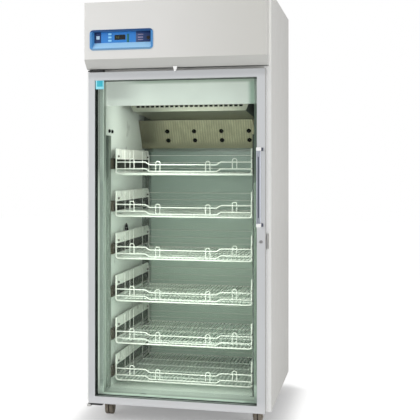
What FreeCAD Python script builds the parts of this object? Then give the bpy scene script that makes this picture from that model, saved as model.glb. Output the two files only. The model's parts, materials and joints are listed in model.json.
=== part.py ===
"""Upright laboratory refrigerator: one glazed door, six wire drawers, cooling unit on top.

Lengths are millimetres. Depths (y) are counted rearward from the front of the header
and heights (z) upward from the underside of the case. One last move puts the origin
on the floor under the middle of the cabinet.
"""
import FreeCAD
import Part
import math
import os

V = FreeCAD.Vector
X_AXIS = V(1, 0, 0)
Y_AXIS = V(0, 1, 0)
Z_AXIS = V(0, 0, 1)

# Case
CASE_WIDTH = 864.0
CASE_SETBACK = 84.0          # case face behind the header front
CASE_DEPTH = 876.0
BOX_HEIGHT = 1560.0          # insulated box, up to the machine bay floor
BAY_HEIGHT = 305.0           # machine bay, up to the top of the side sheets
COVER_RISE = 31.0            # raised rear part of the top cover
COVER_FLAT = 216.0           # flat front part of the top cover
SHEET = 1.2
FACE_FLANGE = 60.0           # width of the painted face beside the opening
REAR_FLANGE = 20.0
PAN_SHEET = 2.0

# Refrigerated room
BREAKER = 17.0               # plastic strip between the face and the room
ROOM_FLOOR = 40.0
CEILING_DEPTH = 50.0         # insulation over the room
REAR_WALL = 43.0             # insulation behind the room
LINER = 1.0
BREAKER_DEPTH = 12.0

# Header
HEADER_INSET = 9.0           # each end inside the case
HEADER_SHEET = 1.5
CHAMFER_HEIGHT = 42.0
CHAMFER_DEPTH = 45.0
HEADER_ROUND = 5.0

# Control panel
BEZEL_INSET = 178.0          # middle of the bezel from the header's left end
BEZEL_RISE = 129.25          # above the insulated box
BEZEL_WIDTH = 300.0
BEZEL_HEIGHT = 94.5
BEZEL_ROUND = 16.0
BEZEL_LIP = 9.0              # flat rim round the recess
BEZEL_PROUD = 3.0
BEZEL_WALL = 2.0
PANEL_RECESS = 20.0
LEDGE_HEIGHT = 27.0          # sloping ledge under the recessed panel
PANEL_THICK = 3.0
PANEL_REST = 4.0             # rim behind the panel that it rests on
BOARD_POST = 10.0
BOARD_DEPTH = 26.0
BUTTON_SHIFT = -59.0         # shifts and rises count from the middle of the bezel
BUTTON_RISE = 28.75
BUTTON_PITCH = 15.0
BUTTON_WIDTH = 16.0
BUTTON_HEIGHT = 9.0
BUTTON_CAP = 1.4
BUTTON_TRAVEL = 1.2          # gap behind each cap
BUTTON_STEM = 4.0            # radius of the stem behind each button
DISPLAY_SHIFT = -11.0
DISPLAY_RISE = 13.25
DISPLAY_WIDTH = 52.0
DISPLAY_HEIGHT = 23.0
DISPLAY_PROUD = 0.8
KEY_SHIFT = 124.0
KEY_RISE = 7.75
KEY_RADIUS = 8.0
KEY_PROUD = 4.0
RUNNING = 0.05               # radial clearance of a turning fit

# Door
DOOR_INSET = 19.0            # each side inside the case
DOOR_DROP = 15.0             # top edge below the insulated box
DOOR_THICK = 40.0
DOOR_GAP = 8.0               # between door and case, filled by the gasket
HINGE_RAIL = 31.0            # visible widths of the four rails
LATCH_RAIL = 40.0
TOP_RAIL = 38.0
BOTTOM_RAIL = 33.0
RAIL_WALL = 1.5
RAIL_PLAY = 0.5              # between a rail and the edge of the glass
LIP = 4.0                    # front lip over the glass
GLASS_BITE = 6.5             # glass held behind the lip on each side
PANE = 4.0
PANE_GAP = 24.0
SPACER_WIDTH = 7.0
BEAD_WIDTH = 10.0
GASKET_WIDTH = 18.0
GASKET_INSET = 9.0
GASKET_FREE = 0.4            # from the gasket to the case face
GASKET_WALL = 1.6
PIVOT_INSET = 28.0           # hinge axis from the case side
PIVOT_DEPTH = 12.0           # hinge axis behind the door front
PIN_RADIUS = 5.0
PIN_LENGTH = 14.0
HINGE_PLATE = 5.0
HINGE_GAP = 3.0
HINGE_EDGE = 12.0            # leaf beyond the pin, outward and forward
HINGE_WIDTH = 69.0
HINGE_TAIL = 60.0            # lower leaf and its pad under the case
HINGE_PAD = 50.0
HINGE_ROUND = 6.0
HINGE_BACK = 3.0             # upturned flange on the case face
LUG_WIDTH = 18.0
LUG_HEIGHT = 23.0
LUG_THICK = 6.0
LUG_SHIFT = 1.0

# Handle and lock
HANDLE_INSET = 27.0          # from the door's latch edge
HANDLE_BOTTOM = 836.0
HANDLE_LENGTH = 355.0
HANDLE_REACH = 50.0
HANDLE_WIDTH = 20.0
HANDLE_DEPTH = 15.0
HANDLE_CAP = 16.0
HANDLE_GROOVE = 5.0
LOCK_INSET = 21.0            # from the door's latch edge
LOCK_Z = 769.0
LOCK_RADIUS = 6.0
LOCK_FLANGE = 1.5
CAM_LENGTH = 28.0
CAM_WIDTH = 8.0
CAM_THICK = 2.5
CAM_DEPTH = 24.0             # cam behind the door front
STRIKE_HEIGHT = 69.0
STRIKE_SHEET = 2.0
STRIKE_GAP = 3.0             # from the door's edge
STRIKE_FOOT = 6.0
STRIKE_LEAD = 8.0            # tab in front of the cam
STRIKE_PLAY = 3.0            # cam in its slot

# Drawers
DRAWER_COUNT = 6
LOWEST_DRAWER = 71.0
SECOND_DRAWER = 249.0
DRAWER_PITCH = 204.3
DRAWER_SETBACK = 127.0       # drawer front behind the case face
DRAWER_REAR_INSET = 18.0     # drawer rear in front of the room's rear wall
SIDE_HEIGHT = 124.0
FRONT_HEIGHT = 60.0
FRONT_DIP = 13.0
DIP_START_INSET = 147.0      # where the dip starts and ends, from the drawer's side
DIP_END_INSET = 167.0
LOWER_RAIL = 28.0
RIM_WIRE = 4.0
RIM_INSET = 1.0               # heavy wire's centre inside the drawer's side
FRONT_WIRE = 3.0
HOOP_WIRE = 2.4
FLOOR_WIRE = 1.6
RIM_SIDES = 6                # flats on a heavy drawn wire
THIN_SIDES = 4               # flats on a thin one
FLOOR_WIRES = 13
CROSS_WIRES = 3
HOOP_INSETS = (81.0, 208.0)  # hoops, from the drawer's side
HOOP_WIDTH = 21.0
HOOP_RISE = 16.0
SIDE_WIRES = (166.0, 264.0, 338.0, 533.0)
PLATE_SHEET = 1.2
PLATE_HEIGHT = 50.0
PLATE_HOLE = 5.0
PLATE_HOLE_INSET = 42.0
PLATE_HOLE_DROP = 31.0
PLATE_CORNER = 26.0          # rounding of the rear top corner

# Drawer slides and the uprights that carry them
UPRIGHT_PROUD = 13.0
UPRIGHT_WIDTH = 44.0
UPRIGHT_SHEET = 1.5
UPRIGHT_SETBACK = 47.0
UPRIGHT_BOTTOM_RISE = 12.0
UPRIGHT_TOP_DROP = 257.0     # front uprights end below the ceiling
REAR_UPRIGHT_DROP = 12.0     # rear uprights end below the air panel
SLIDE_HEIGHT = 52.0
SLIDE_WALL = 1.5
SLIDE_LIP = 3.0
SLIDE_LOW = 27.0             # slide above the drawer floor
SLIDE_CLEAR = 0.5
SLIDE_INSET = 10.0           # moving member inside each end of the drawer
RAIL_LEAD = 46.0             # fixed rail in front of the drawer

# Cooling parts in the room
FASCIA_SETBACK = 65.0
FASCIA_DROP = 115.0
FASCIA_SHEET = 2.5
FASCIA_FOLD = 14.0
HOUSING_SETBACK = 284.0      # lip behind the case face
HOUSING_INSET = 61.5         # lip from each wall
HOUSING_LIP_DROP = 102.0     # drops count from the ceiling
HOUSING_LIP_HEIGHT = 31.0
HOUSING_REAR_INSET = 146.0   # insets count from the room's rear wall
HOUSING_REAR_DROP = 156.0
HOUSING_CHEEK = 60.0         # end walls lean back to the ceiling
LIP_CUT = 14.0               # slant at each end of the lip
LIP_SLOT_PITCH = 24.4
LIP_SLOT_MARGIN = 25.0
LIP_SLOT_WIDTH = 14.0
LIP_SLOT_HEIGHT = 5.0
GRILLE_TOP_DROP = 158.0
GRILLE_BOTTOM_DROP = 307.0
GRILLE_TOP_INSET = 167.0
GRILLE_BOTTOM_INSET = 80.0
GRILLE_TOP_WING = 96.0       # wings beside the raised middle, wider at the top
GRILLE_FOOT_WING = 58.0
GRILLE_FOLD = 18.0
GRILLE_HOLE = 10.0
GRILLE_HOLE_PITCH = 146.5
GRILLE_HOLE_SHIFT = 21.0
GRILLE_ROWS = (68.0, 123.0)  # hole rows, down the slope from the top fold
DUCT_INSET = 39.0            # duct from each side wall
DUCT_DEPTH = 12.0
DUCT_BEVEL = 14.0
DUCT_FOOT = 22.0             # above the room's floor
DUCT_HEAD = 17.0             # below the air panel
COIL_FINS = 16
COIL_FAN_GAP = 86.0          # coil in front of the fan
COIL_SETBACK = 70.0          # coil behind the lip
COIL_RAISE = 14.0            # coil above the tray
COIL_MARGIN = 30.0           # room for the bends at each end
COIL_HANG = 12.0             # coil below the ceiling
COIL_TUBE = 5.0
FIN = 1.0
FAN_SHAFT = 3.0
EVAP_FAN_RADIUS = 52.0
EVAP_FAN_DROP = 78.0
EVAP_FAN_INSET = 203.0
EVAP_FAN_THICK = 12.0
EVAP_FAN_ARM = 18.0
BULKHEAD_RAISE = 14.0        # bulkhead's foot above the tray
FAN_RIM = 4.0                # opening round the blades
FAN_ARM = 10.0
MOTOR_DEPTH = 30.0
LAMP_LENGTH = 500.0
LAMP_SETBACK = 60.0
LAMP_WIDTH = 34.0
LAMP_BASE = 12.0
LAMP_TUBE = 9.0
PLUG_SETBACK = 406.0
PLUG_Z = 797.0
PLUG_RADIUS = 11.0
PLUG_PROUD = 12.0
PLUG_BULB = 24.0
PLUG_DEEP = 30.0             # stopper beyond the liner

# Cooling parts in the machine bay
COMPRESSOR_X = -230.0
COMPRESSOR_INSET = 256.0     # from the case's rear
COMPRESSOR_RADIUS = 82.0
COMPRESSOR_HEIGHT = 180.0
POT_LIFT = 18.0              # pot above the deck, on rubber feet
POT_FOOT = 12.0
CONDENSER_X = 120.0
CONDENSER_SETBACK = 170.0
CONDENSER_WIDTH = 340.0
CONDENSER_HEIGHT = 230.0
CONDENSER_DEPTH = 70.0
COND_FAN_GAP = 40.0          # fan behind the condenser
COND_FAN_THICK = 16.0
COND_FAN_ARM = 26.0
COND_FAN_RADIUS = 95.0
VENT_ROWS = 9
VENT_PITCH = 20.0
VENT_HEIGHT = 7.0
VENT_MARGIN = 76.0

# Casters
FLOOR_GAP = 90.0
CASTER_INSET = 75.0          # kingpins from the case sides
CASTER_FRONT_SETBACK = 111.0
CASTER_REAR_INSET = 105.0
CASTER_PLATE = 3.0
CASTER_PLATE_SIZE = 84.0
WHEEL_RADIUS = 33.0
WHEEL_WIDTH = 34.0
WHEEL_GROOVE = 3.0           # half width and depth of the groove round the tread
WHEEL_TRAIL = 20.0
HUB_RADIUS = 11.0
AXLE_RADIUS = 4.0
FORK_SHEET = 3.0
FORK_CLEAR = 2.5
SWIVEL_RADIUS = 22.0
KINGPIN_RADIUS = 6.0
SWIVEL_DROP = 13.0
BRAKE_PIN = 2.5

# Places that follow from the sizes above
HALF = CASE_WIDTH / 2
FACE = CASE_SETBACK
REAR = CASE_SETBACK + CASE_DEPTH
SIDE_TOP = BOX_HEIGHT + BAY_HEIGHT
OPENING_HALF = HALF - FACE_FLANGE
ROOM_HALF = OPENING_HALF - BREAKER
ROOM_TOP = BOX_HEIGHT - CEILING_DEPTH
ROOM_REAR = REAR - REAR_WALL
HEADER_HALF = HALF - HEADER_INSET
BEZEL_X = -HEADER_HALF + BEZEL_INSET
BEZEL_Z = BOX_HEIGHT + BEZEL_RISE
BUTTON_X = BEZEL_X + BUTTON_SHIFT
BUTTON_TOP_Z = BEZEL_Z + BUTTON_RISE
DISPLAY_X = BEZEL_X + DISPLAY_SHIFT
DISPLAY_Z = BEZEL_Z + DISPLAY_RISE
KEY_X = BEZEL_X + KEY_SHIFT
KEY_Z = BEZEL_Z + KEY_RISE
DOOR_HALF = HALF - DOOR_INSET
DOOR_HEIGHT = BOX_HEIGHT - DOOR_DROP
DOOR_FRONT = FACE - DOOR_GAP - DOOR_THICK
DOOR_REAR = DOOR_FRONT + DOOR_THICK
PIVOT_X = -HALF + PIVOT_INSET
PIVOT_Y = DOOR_FRONT + PIVOT_DEPTH
HANDLE_X = DOOR_HALF - HANDLE_INSET
LOCK_X = DOOR_HALF - LOCK_INSET
UPRIGHT_FACE = ROOM_HALF - UPRIGHT_PROUD
DRAWER_HALF = UPRIGHT_FACE - UPRIGHT_PROUD
DRAWER_FRONT = FACE + DRAWER_SETBACK
DRAWER_REAR = ROOM_REAR - DRAWER_REAR_INSET
RIM_HALF = DRAWER_HALF - RIM_INSET
REAR_TOP = SIDE_HEIGHT - PLATE_CORNER
DIP_START = DRAWER_HALF - DIP_START_INSET
DIP_END = DRAWER_HALF - DIP_END_INSET
HOOP_CENTRES = [way * (DRAWER_HALF - inset) for way in (-1, 1) for inset in HOOP_INSETS]
DRAWER_FLOORS = [LOWEST_DRAWER]
DRAWER_FLOORS += [SECOND_DRAWER + DRAWER_PITCH * i for i in range(DRAWER_COUNT - 1)]
PANEL_Y = PANEL_RECESS
PANEL_HALF = BEZEL_WIDTH / 2 - BEZEL_LIP - 7.0
PANEL_TOP = BEZEL_Z + BEZEL_HEIGHT / 2 - BEZEL_LIP
PANEL_BOTTOM = BEZEL_Z - BEZEL_HEIGHT / 2 + BEZEL_LIP + LEDGE_HEIGHT
HOUSING_HALF = ROOM_HALF - HOUSING_INSET
HOUSING_LIP_TOP = ROOM_TOP - HOUSING_LIP_DROP
HOUSING_LIP_BOTTOM = HOUSING_LIP_TOP - HOUSING_LIP_HEIGHT
HOUSING_FRONT = FACE + HOUSING_SETBACK
HOUSING_REAR = ROOM_REAR - HOUSING_REAR_INSET
HOUSING_REAR_Z = ROOM_TOP - HOUSING_REAR_DROP
LIP_SLOTS = round(2 * (HOUSING_HALF - LIP_SLOT_MARGIN) / LIP_SLOT_PITCH)
EVAP_FAN_Y = ROOM_REAR - EVAP_FAN_INSET
EVAP_FAN_Z = ROOM_TOP - EVAP_FAN_DROP
GRILLE_TOP_Z = ROOM_TOP - GRILLE_TOP_DROP
GRILLE_BOTTOM_Z = ROOM_TOP - GRILLE_BOTTOM_DROP
DUCT_HALF = ROOM_HALF - DUCT_INSET
VENT_LENGTH = HALF - 2 * VENT_MARGIN
CONDENSER_REAR = FACE + CONDENSER_SETBACK + CONDENSER_DEPTH
CASTER_X = HALF - CASTER_INSET
CASTER_FRONT = FACE + CASTER_FRONT_SETBACK
CASTER_REAR = REAR - CASTER_REAR_INSET
HANDLE_FACE = DOOR_FRONT - HANDLE_REACH
CENTRE_Y = (HANDLE_FACE + REAR) / 2


# Shape helpers
def box(x0, x1, y0, y1, z0, z1):
    return Part.makeBox(x1 - x0, y1 - y0, z1 - z0, V(x0, y0, z0))


def prism(points, sweep):
    """Solid from a closed outline of vectors, pushed along a vector."""
    outline = Part.makePolygon(points + [points[0]])
    return Part.Face(outline).extrude(sweep)


def side_prism(outline, x0, x1):
    """Outline of (y, z) pairs pushed from x0 to x1."""
    return prism([V(x0, y, z) for y, z in outline], V(x1 - x0, 0, 0))


def plan_prism(outline, z0, z1):
    """Outline of (x, y) pairs pushed from z0 to z1."""
    return prism([V(x, y, z0) for x, y in outline], V(0, 0, z1 - z0))


def front_prism(outline, y0, y1):
    """Outline of (x, z) pairs pushed from y0 to y1."""
    return prism([V(x, y0, z) for x, z in outline], V(0, y1 - y0, 0))


def cylinder(radius, start, axis, length):
    return Part.makeCylinder(radius, length, start, axis)


def fuse(shapes):
    whole = shapes[0]
    if len(shapes) > 1:
        whole = whole.multiFuse(shapes[1:])
    return whole.removeSplitter()


def group(shapes):
    """Pieces of one node that stay separate solids."""
    solids = []
    for shape in shapes:
        solids += shape.Solids
    return Part.makeCompound(solids)


def mirrored_x(shape):
    return shape.mirror(V(0, 0, 0), X_AXIS)


def rounded(shape, axis, radius):
    """Fillet of the straight edges that run along one axis."""
    edges = []
    for edge in shape.Edges:
        if isinstance(edge.Curve, Part.Line) and abs(edge.tangentAt(0).dot(axis)) > 0.999:
            edges.append(edge)
    return shape.makeFillet(radius, edges)


def rounded_panel(half, height, centre, y0, y1, radius):
    """Upright plate with rounded corners; centre is (x, z)."""
    x, z = centre
    plate = box(x - half, x + half, y0, y1, z - height / 2, z + height / 2)
    return rounded(plate, Y_AXIS, radius)


def inward(edges, depth):
    """Upright rectangle (x low, x high, z low, z high) with every edge moved inward."""
    return (edges[0] + depth, edges[1] - depth, edges[2] + depth, edges[3] - depth)


def frame_ring(outer, inner, y0, y1):
    """Upright ring between two rectangles of (x low, x high, z low, z high)."""
    ring = box(outer[0], outer[1], y0, y1, outer[2], outer[3])
    return ring.cut(box(inner[0], inner[1], y0 - 1, y1 + 1, inner[2], inner[3]))


def section_axes(along):
    """Two unit vectors across a direction."""
    side = X_AXIS if abs(along.x) < 0.9 else Y_AXIS
    u = along.cross(side)
    u.normalize()
    return u, along.cross(u)


def rod(points, radius, sides=RIM_SIDES, closed=False):
    """Drawn wire through points: a many-sided bar, mitred where it turns."""
    count = len(points)
    runs = [points[(i + 1) % count] - points[i] for i in range(count if closed else count - 1)]
    for run in runs:
        run.normalize()
    u, v = section_axes(runs[0])
    ring = []
    for i in range(sides):
        angle = 2 * math.pi * (i + 0.5) / sides
        ring.append(points[0] + u * (radius * math.cos(angle)) + v * (radius * math.sin(angle)))
    if closed:
        ring = onto_mitre(ring, runs[0], points[0], runs[-1] + runs[0])
    rings = [ring]
    for i, run in enumerate(runs):
        last = i == len(runs) - 1
        if last and closed:
            rings.append(rings[0])
            continue
        normal = run if last else run + runs[i + 1]
        rings.append(onto_mitre(rings[-1], run, points[i + 1], normal))
    faces = []
    for a, b in zip(rings, rings[1:]):
        for i in range(sides):
            j = (i + 1) % sides
            faces.append(Part.Face(Part.makePolygon([a[i], a[j], b[j], b[i], a[i]])))
    if not closed:
        for end in (rings[0], rings[-1]):
            faces.append(Part.Face(Part.makePolygon(end + [end[0]])))
    return Part.Solid(Part.Shell(faces))


def onto_mitre(ring, run, corner, normal):
    """Section points slid along a run onto the mitre plane at a corner."""
    return [p + run * ((corner - p).dot(normal) / run.dot(normal)) for p in ring]


def slots(x_centres, z_centre, width, height, y0, y1):
    """Cutters for a row of slots through an upright sheet."""
    return [box(x - width / 2, x + width / 2, y0, y1, z_centre - height / 2, z_centre + height / 2)
            for x in x_centres]


# Case
def outer_case():
    """Side sheets folded into front and rear flanges, tied by two front rails."""
    inner = HALF - SHEET
    side = plan_prism([(HALF, FACE), (HALF, REAR), (HALF - REAR_FLANGE, REAR),
                       (HALF - REAR_FLANGE, REAR - SHEET), (inner, REAR - SHEET),
                       (inner, FACE + SHEET), (OPENING_HALF, FACE + SHEET),
                       (OPENING_HALF, FACE)], 0, SIDE_TOP)
    low = box(-OPENING_HALF, OPENING_HALF, FACE, FACE + SHEET, 0, ROOM_FLOOR - BREAKER)
    high = box(-OPENING_HALF, OPENING_HALF, FACE, FACE + SHEET, ROOM_TOP + BREAKER, BOX_HEIGHT)
    return fuse([side, mirrored_x(side), low, high])


def back_panel():
    """Rear sheet inside the side flanges, with vent slots behind the machine bay."""
    half = HALF - SHEET
    panel = box(-half, half, REAR - 2 * SHEET, REAR - SHEET, 0, SIDE_TOP - SHEET)
    cutters = []
    first = (BOX_HEIGHT + SIDE_TOP) / 2 - VENT_PITCH * (VENT_ROWS - 1) / 2
    for row in range(VENT_ROWS):
        cutters += slots((-HALF / 2, HALF / 2), first + row * VENT_PITCH,
                         VENT_LENGTH, VENT_HEIGHT, REAR - 3 * SHEET, REAR)
    return panel.cut(Part.makeCompound(cutters))


def bottom_pan():
    half = HALF - SHEET
    return box(-half, half, FACE + SHEET, REAR - 2 * SHEET, 0, PAN_SHEET)


def machine_deck():
    """Floor of the machine bay, with its side edges turned up."""
    half = HALF - SHEET
    fold = 14.0 * SHEET
    y0, y1 = FACE + SHEET, REAR - 2 * SHEET
    low = BOX_HEIGHT - SHEET
    tray = box(-half, half, y0, y1, low, BOX_HEIGHT + fold)
    return tray.cut(box(-half + SHEET, half - SHEET, y0, y1, BOX_HEIGHT, BOX_HEIGHT + 2 * fold))


def top_cover():
    """Flat front part between the sides, stepping up to a raised lid on top of them."""
    step = FACE + COVER_FLAT
    slope = COVER_RISE / 4
    half = HALF - SHEET
    top = SIDE_TOP + COVER_RISE
    lid = side_prism([(step, SIDE_TOP), (step + slope, top), (REAR, top), (REAR, SIDE_TOP)],
                     -HALF, HALF)
    hollow = side_prism([(step + SHEET, SIDE_TOP - SHEET), (step + slope + SHEET, top - SHEET),
                         (REAR - SHEET, top - SHEET), (REAR - SHEET, SIDE_TOP - SHEET)],
                        -half, half)
    flat = box(-half, half, FACE + SHEET, step - SHEET, SIDE_TOP - SHEET, SIDE_TOP)
    tongue = half - 4 * SHEET
    tongue = box(-tongue, tongue, step - SHEET, step + SHEET * 0.9, SIDE_TOP - SHEET, SIDE_TOP)
    return fuse([lid.cut(hollow), flat, tongue])


def foam():
    """Insulation poured between case and liner."""
    half = HALF - SHEET
    block = box(-half, half, FACE + SHEET, REAR - 2 * SHEET, PAN_SHEET, BOX_HEIGHT - SHEET)
    skin = ROOM_HALF + LINER
    room = box(-skin, skin, FACE, ROOM_REAR + LINER, ROOM_FLOOR - LINER, ROOM_TOP + LINER)
    rebate = box(-OPENING_HALF, OPENING_HALF, FACE, FACE + BREAKER_DEPTH,
                 ROOM_FLOOR - BREAKER, ROOM_TOP + BREAKER)
    return block.cut(fuse([room, rebate])).cut(port_plug_body())


def inner_liner():
    """One deep-drawn white tub with rounded vertical corners at the rear."""
    skin = ROOM_HALF + LINER
    y0 = FACE + BREAKER_DEPTH
    tub = box(-skin, skin, y0, ROOM_REAR + LINER, ROOM_FLOOR - LINER, ROOM_TOP + LINER)
    room = box(-ROOM_HALF, ROOM_HALF, y0 - 1, ROOM_REAR, ROOM_FLOOR, ROOM_TOP)
    return tub.cut(room).cut(port_plug_body())


def breaker_frame():
    """Plastic strip that bridges the case face and the liner round the opening."""
    inner = (-ROOM_HALF, ROOM_HALF, ROOM_FLOOR, ROOM_TOP)
    return frame_ring(inward(inner, -BREAKER), inner, FACE, FACE + BREAKER_DEPTH)


# Header and controls
def header_outline(inset):
    """Side outline of the header box, moved inward by inset."""
    lean = math.atan2(CHAMFER_HEIGHT, CHAMFER_DEPTH)
    shift = inset * math.tan(lean / 2)
    return [(inset, BOX_HEIGHT + CHAMFER_HEIGHT + inset * math.tan((math.pi / 2 - lean) / 2)),
            (inset, SIDE_TOP - inset), (FACE, SIDE_TOP - inset), (FACE, BOX_HEIGHT + inset),
            (CHAMFER_DEPTH + shift, BOX_HEIGHT + inset)]


def header_shell():
    """Folded front cover of the machine bay, open at the rear."""
    half = HEADER_HALF
    skin = side_prism(header_outline(0), -half, half)
    front = [edge for edge in skin.Edges if abs(edge.BoundBox.YMax) < 0.01
             and edge.BoundBox.ZLength > BAY_HEIGHT / 2]
    skin = skin.makeFillet(HEADER_ROUND, front)
    inner = half - HEADER_SHEET
    hollow = side_prism(header_outline(HEADER_SHEET), -inner, inner)
    corner = [edge for edge in hollow.Edges if abs(edge.BoundBox.YMax - HEADER_SHEET) < 0.01
              and edge.BoundBox.ZLength > BAY_HEIGHT / 2]
    hollow = hollow.makeFillet(HEADER_ROUND - HEADER_SHEET, corner)
    window = rounded_panel(BEZEL_WIDTH / 2 - BEZEL_LIP + BEZEL_WALL,
                           BEZEL_HEIGHT - 2 * BEZEL_LIP + 2 * BEZEL_WALL, (BEZEL_X, BEZEL_Z),
                           -1, HEADER_SHEET + 1, BEZEL_ROUND - BEZEL_LIP + BEZEL_WALL)
    return skin.cut(hollow).cut(window)


def control_bezel():
    """Moulded surround: flat rim, dished recess and a ledge that slopes up to the panel."""
    rim = rounded_panel(BEZEL_WIDTH / 2, BEZEL_HEIGHT, (BEZEL_X, BEZEL_Z),
                        -BEZEL_PROUD, 0, BEZEL_ROUND)
    half = BEZEL_WIDTH / 2 - BEZEL_LIP
    high = BEZEL_HEIGHT - 2 * BEZEL_LIP
    round_in = BEZEL_ROUND - BEZEL_LIP
    deep = PANEL_Y + PANEL_THICK + BEZEL_WALL
    dish = rounded_panel(half + BEZEL_WALL, high + 2 * BEZEL_WALL, (BEZEL_X, BEZEL_Z),
                         0, deep, round_in + BEZEL_WALL)
    x0, x1 = BEZEL_X - half, BEZEL_X + half
    z0, z1 = BEZEL_Z - high / 2, BEZEL_Z + high / 2
    recess = prism([V(x0, -BEZEL_PROUD, z0), V(x1, -BEZEL_PROUD, z0),
                    V(x1, -BEZEL_PROUD, z1), V(x0, -BEZEL_PROUD, z1)], V(0, BEZEL_PROUD, 0))
    recess = rounded(recess, Y_AXIS, round_in)
    throat = Part.makeLoft([rect_wire(x0, x1, z0, z1, 0),
                            rect_wire(BEZEL_X - PANEL_HALF, BEZEL_X + PANEL_HALF,
                                      PANEL_BOTTOM, PANEL_TOP, PANEL_Y)], True, True)
    seat = box(BEZEL_X - PANEL_HALF, BEZEL_X + PANEL_HALF, PANEL_Y, PANEL_Y + PANEL_THICK,
               PANEL_BOTTOM, PANEL_TOP)
    open_half = PANEL_HALF - PANEL_REST
    window = box(BEZEL_X - open_half, BEZEL_X + open_half, PANEL_Y, deep + 1,
                 PANEL_BOTTOM + PANEL_REST, PANEL_TOP - PANEL_REST)
    key_room = cylinder(KEY_RADIUS + 1, V(KEY_X, PANEL_Y, KEY_Z), Y_AXIS, deep)
    return fuse([rim, dish]).cut(fuse([recess, throat, seat, window, key_room]))


def rect_wire(x0, x1, z0, z1, y):
    return Part.makePolygon([V(x0, y, z0), V(x1, y, z0), V(x1, y, z1), V(x0, y, z1),
                             V(x0, y, z0)])


def button_z(index):
    return BUTTON_TOP_Z - index * BUTTON_PITCH


def control_panel():
    """Flat carrier behind the membrane, bored for buttons, display and key switch."""
    slack = 0.2
    plate = box(BEZEL_X - PANEL_HALF + slack, BEZEL_X + PANEL_HALF - slack,
                PANEL_Y, PANEL_Y + PANEL_THICK, PANEL_BOTTOM + slack, PANEL_TOP - slack)
    cutters = [cylinder(BUTTON_STEM + RUNNING, V(BUTTON_X, PANEL_Y - 1, button_z(i)),
                        Y_AXIS, PANEL_THICK + 2) for i in range(3)]
    cutters.append(cylinder(KEY_RADIUS + RUNNING, V(KEY_X, PANEL_Y - 1, KEY_Z),
                            Y_AXIS, PANEL_THICK + 2))
    return plate.cut(Part.makeCompound(cutters))


def display_window():
    return rounded_panel(DISPLAY_WIDTH / 2, DISPLAY_HEIGHT, (DISPLAY_X, DISPLAY_Z),
                         PANEL_Y - DISPLAY_PROUD, PANEL_Y, DISPLAY_HEIGHT / 10)


def button(index):
    """Key cap with a short stem through the panel."""
    z = button_z(index)
    back = PANEL_Y - BUTTON_TRAVEL
    cap = rounded_panel(BUTTON_WIDTH / 2, BUTTON_HEIGHT, (BUTTON_X, z), back - BUTTON_CAP, back,
                        BUTTON_HEIGHT / 4)
    stem = cylinder(BUTTON_STEM, V(BUTTON_X, back, z), Y_AXIS, BUTTON_TRAVEL + PANEL_THICK)
    return fuse([cap, stem])


def key_switch():
    """Round barrel with a keyway across its face."""
    front = PANEL_Y - KEY_PROUD
    barrel = cylinder(KEY_RADIUS, V(KEY_X, front, KEY_Z), Y_AXIS, KEY_PROUD + PANEL_THICK + 6)
    groove = box(KEY_X - 1, KEY_X + 1, front - 1, front + 2,
                 KEY_Z - KEY_RADIUS * 0.55, KEY_Z + KEY_RADIUS * 0.55)
    return barrel.cut(groove)


def control_board():
    """Electronics box held off the back of the bezel on four posts."""
    y0 = PANEL_Y + PANEL_THICK + BEZEL_WALL
    y1 = y0 + BOARD_POST
    half = PANEL_HALF - PANEL_REST
    z = (PANEL_TOP + PANEL_BOTTOM) / 2
    high = PANEL_TOP - PANEL_BOTTOM
    pieces = [box(BEZEL_X - half, BEZEL_X + half, y1, y1 + BOARD_DEPTH, z - high / 2, z + high / 2)]
    for x in (BEZEL_X - half, BEZEL_X + half):
        for side in (-1, 1):
            foot = V(x, y0, z + side * (high / 2 - PANEL_REST / 2))
            pieces.append(cylinder(PANEL_REST / 2, foot, Y_AXIS, BOARD_POST + 1))
    return fuse(pieces)


# Door
def door_rail(length, width, first, last):
    """Hollow rail along X, mitred into neighbours of other widths at its first and last end."""
    half = length / 2
    front, rear = DOOR_FRONT, DOOR_REAR
    seat = width - GLASS_BITE - RAIL_PLAY
    profile = [(front, 0), (rear, 0), (rear, seat), (front + LIP, seat), (front + LIP, width),
               (front, width)]
    bar = side_prism(profile, -half, half)
    bar = bar.makeFillet(RAIL_WALL, [edge for edge in bar.Edges
                                     if edge.BoundBox.XLength > length / 2
                                     and edge.BoundBox.YMax < front + 0.1])
    bore = box(-half - 1, half + 1, front + RAIL_WALL, rear - RAIL_WALL,
               RAIL_WALL, seat - RAIL_WALL)
    bar = bar.cut(bore)
    for way, side in ((-1, first), (1, last)):
        mitre = front_prism([(way * (half + side), -width), (way * (half - 2 * side), 2 * width),
                             (way * (half + side), 2 * width)], front - 1, rear + 1)
        bar = bar.cut(mitre)
    return bar


def door_rails():
    """Bottom, top, left and right rails, as four separate extrusions."""
    bottom = door_rail(2 * DOOR_HALF, BOTTOM_RAIL, HINGE_RAIL, LATCH_RAIL)
    top = door_rail(2 * DOOR_HALF, TOP_RAIL, HINGE_RAIL, LATCH_RAIL)
    top = top.mirror(V(0, 0, DOOR_HEIGHT / 2), Z_AXIS)
    sides = []
    for width in (HINGE_RAIL, LATCH_RAIL):
        side = door_rail(DOOR_HEIGHT, width, TOP_RAIL, BOTTOM_RAIL)
        side.rotate(V(0, 0, 0), Y_AXIS, 90)
        side.translate(V(-DOOR_HALF, 0, DOOR_HEIGHT / 2))
        sides.append(side)
    return bottom, top, sides[0], mirrored_x(sides[1])


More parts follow.
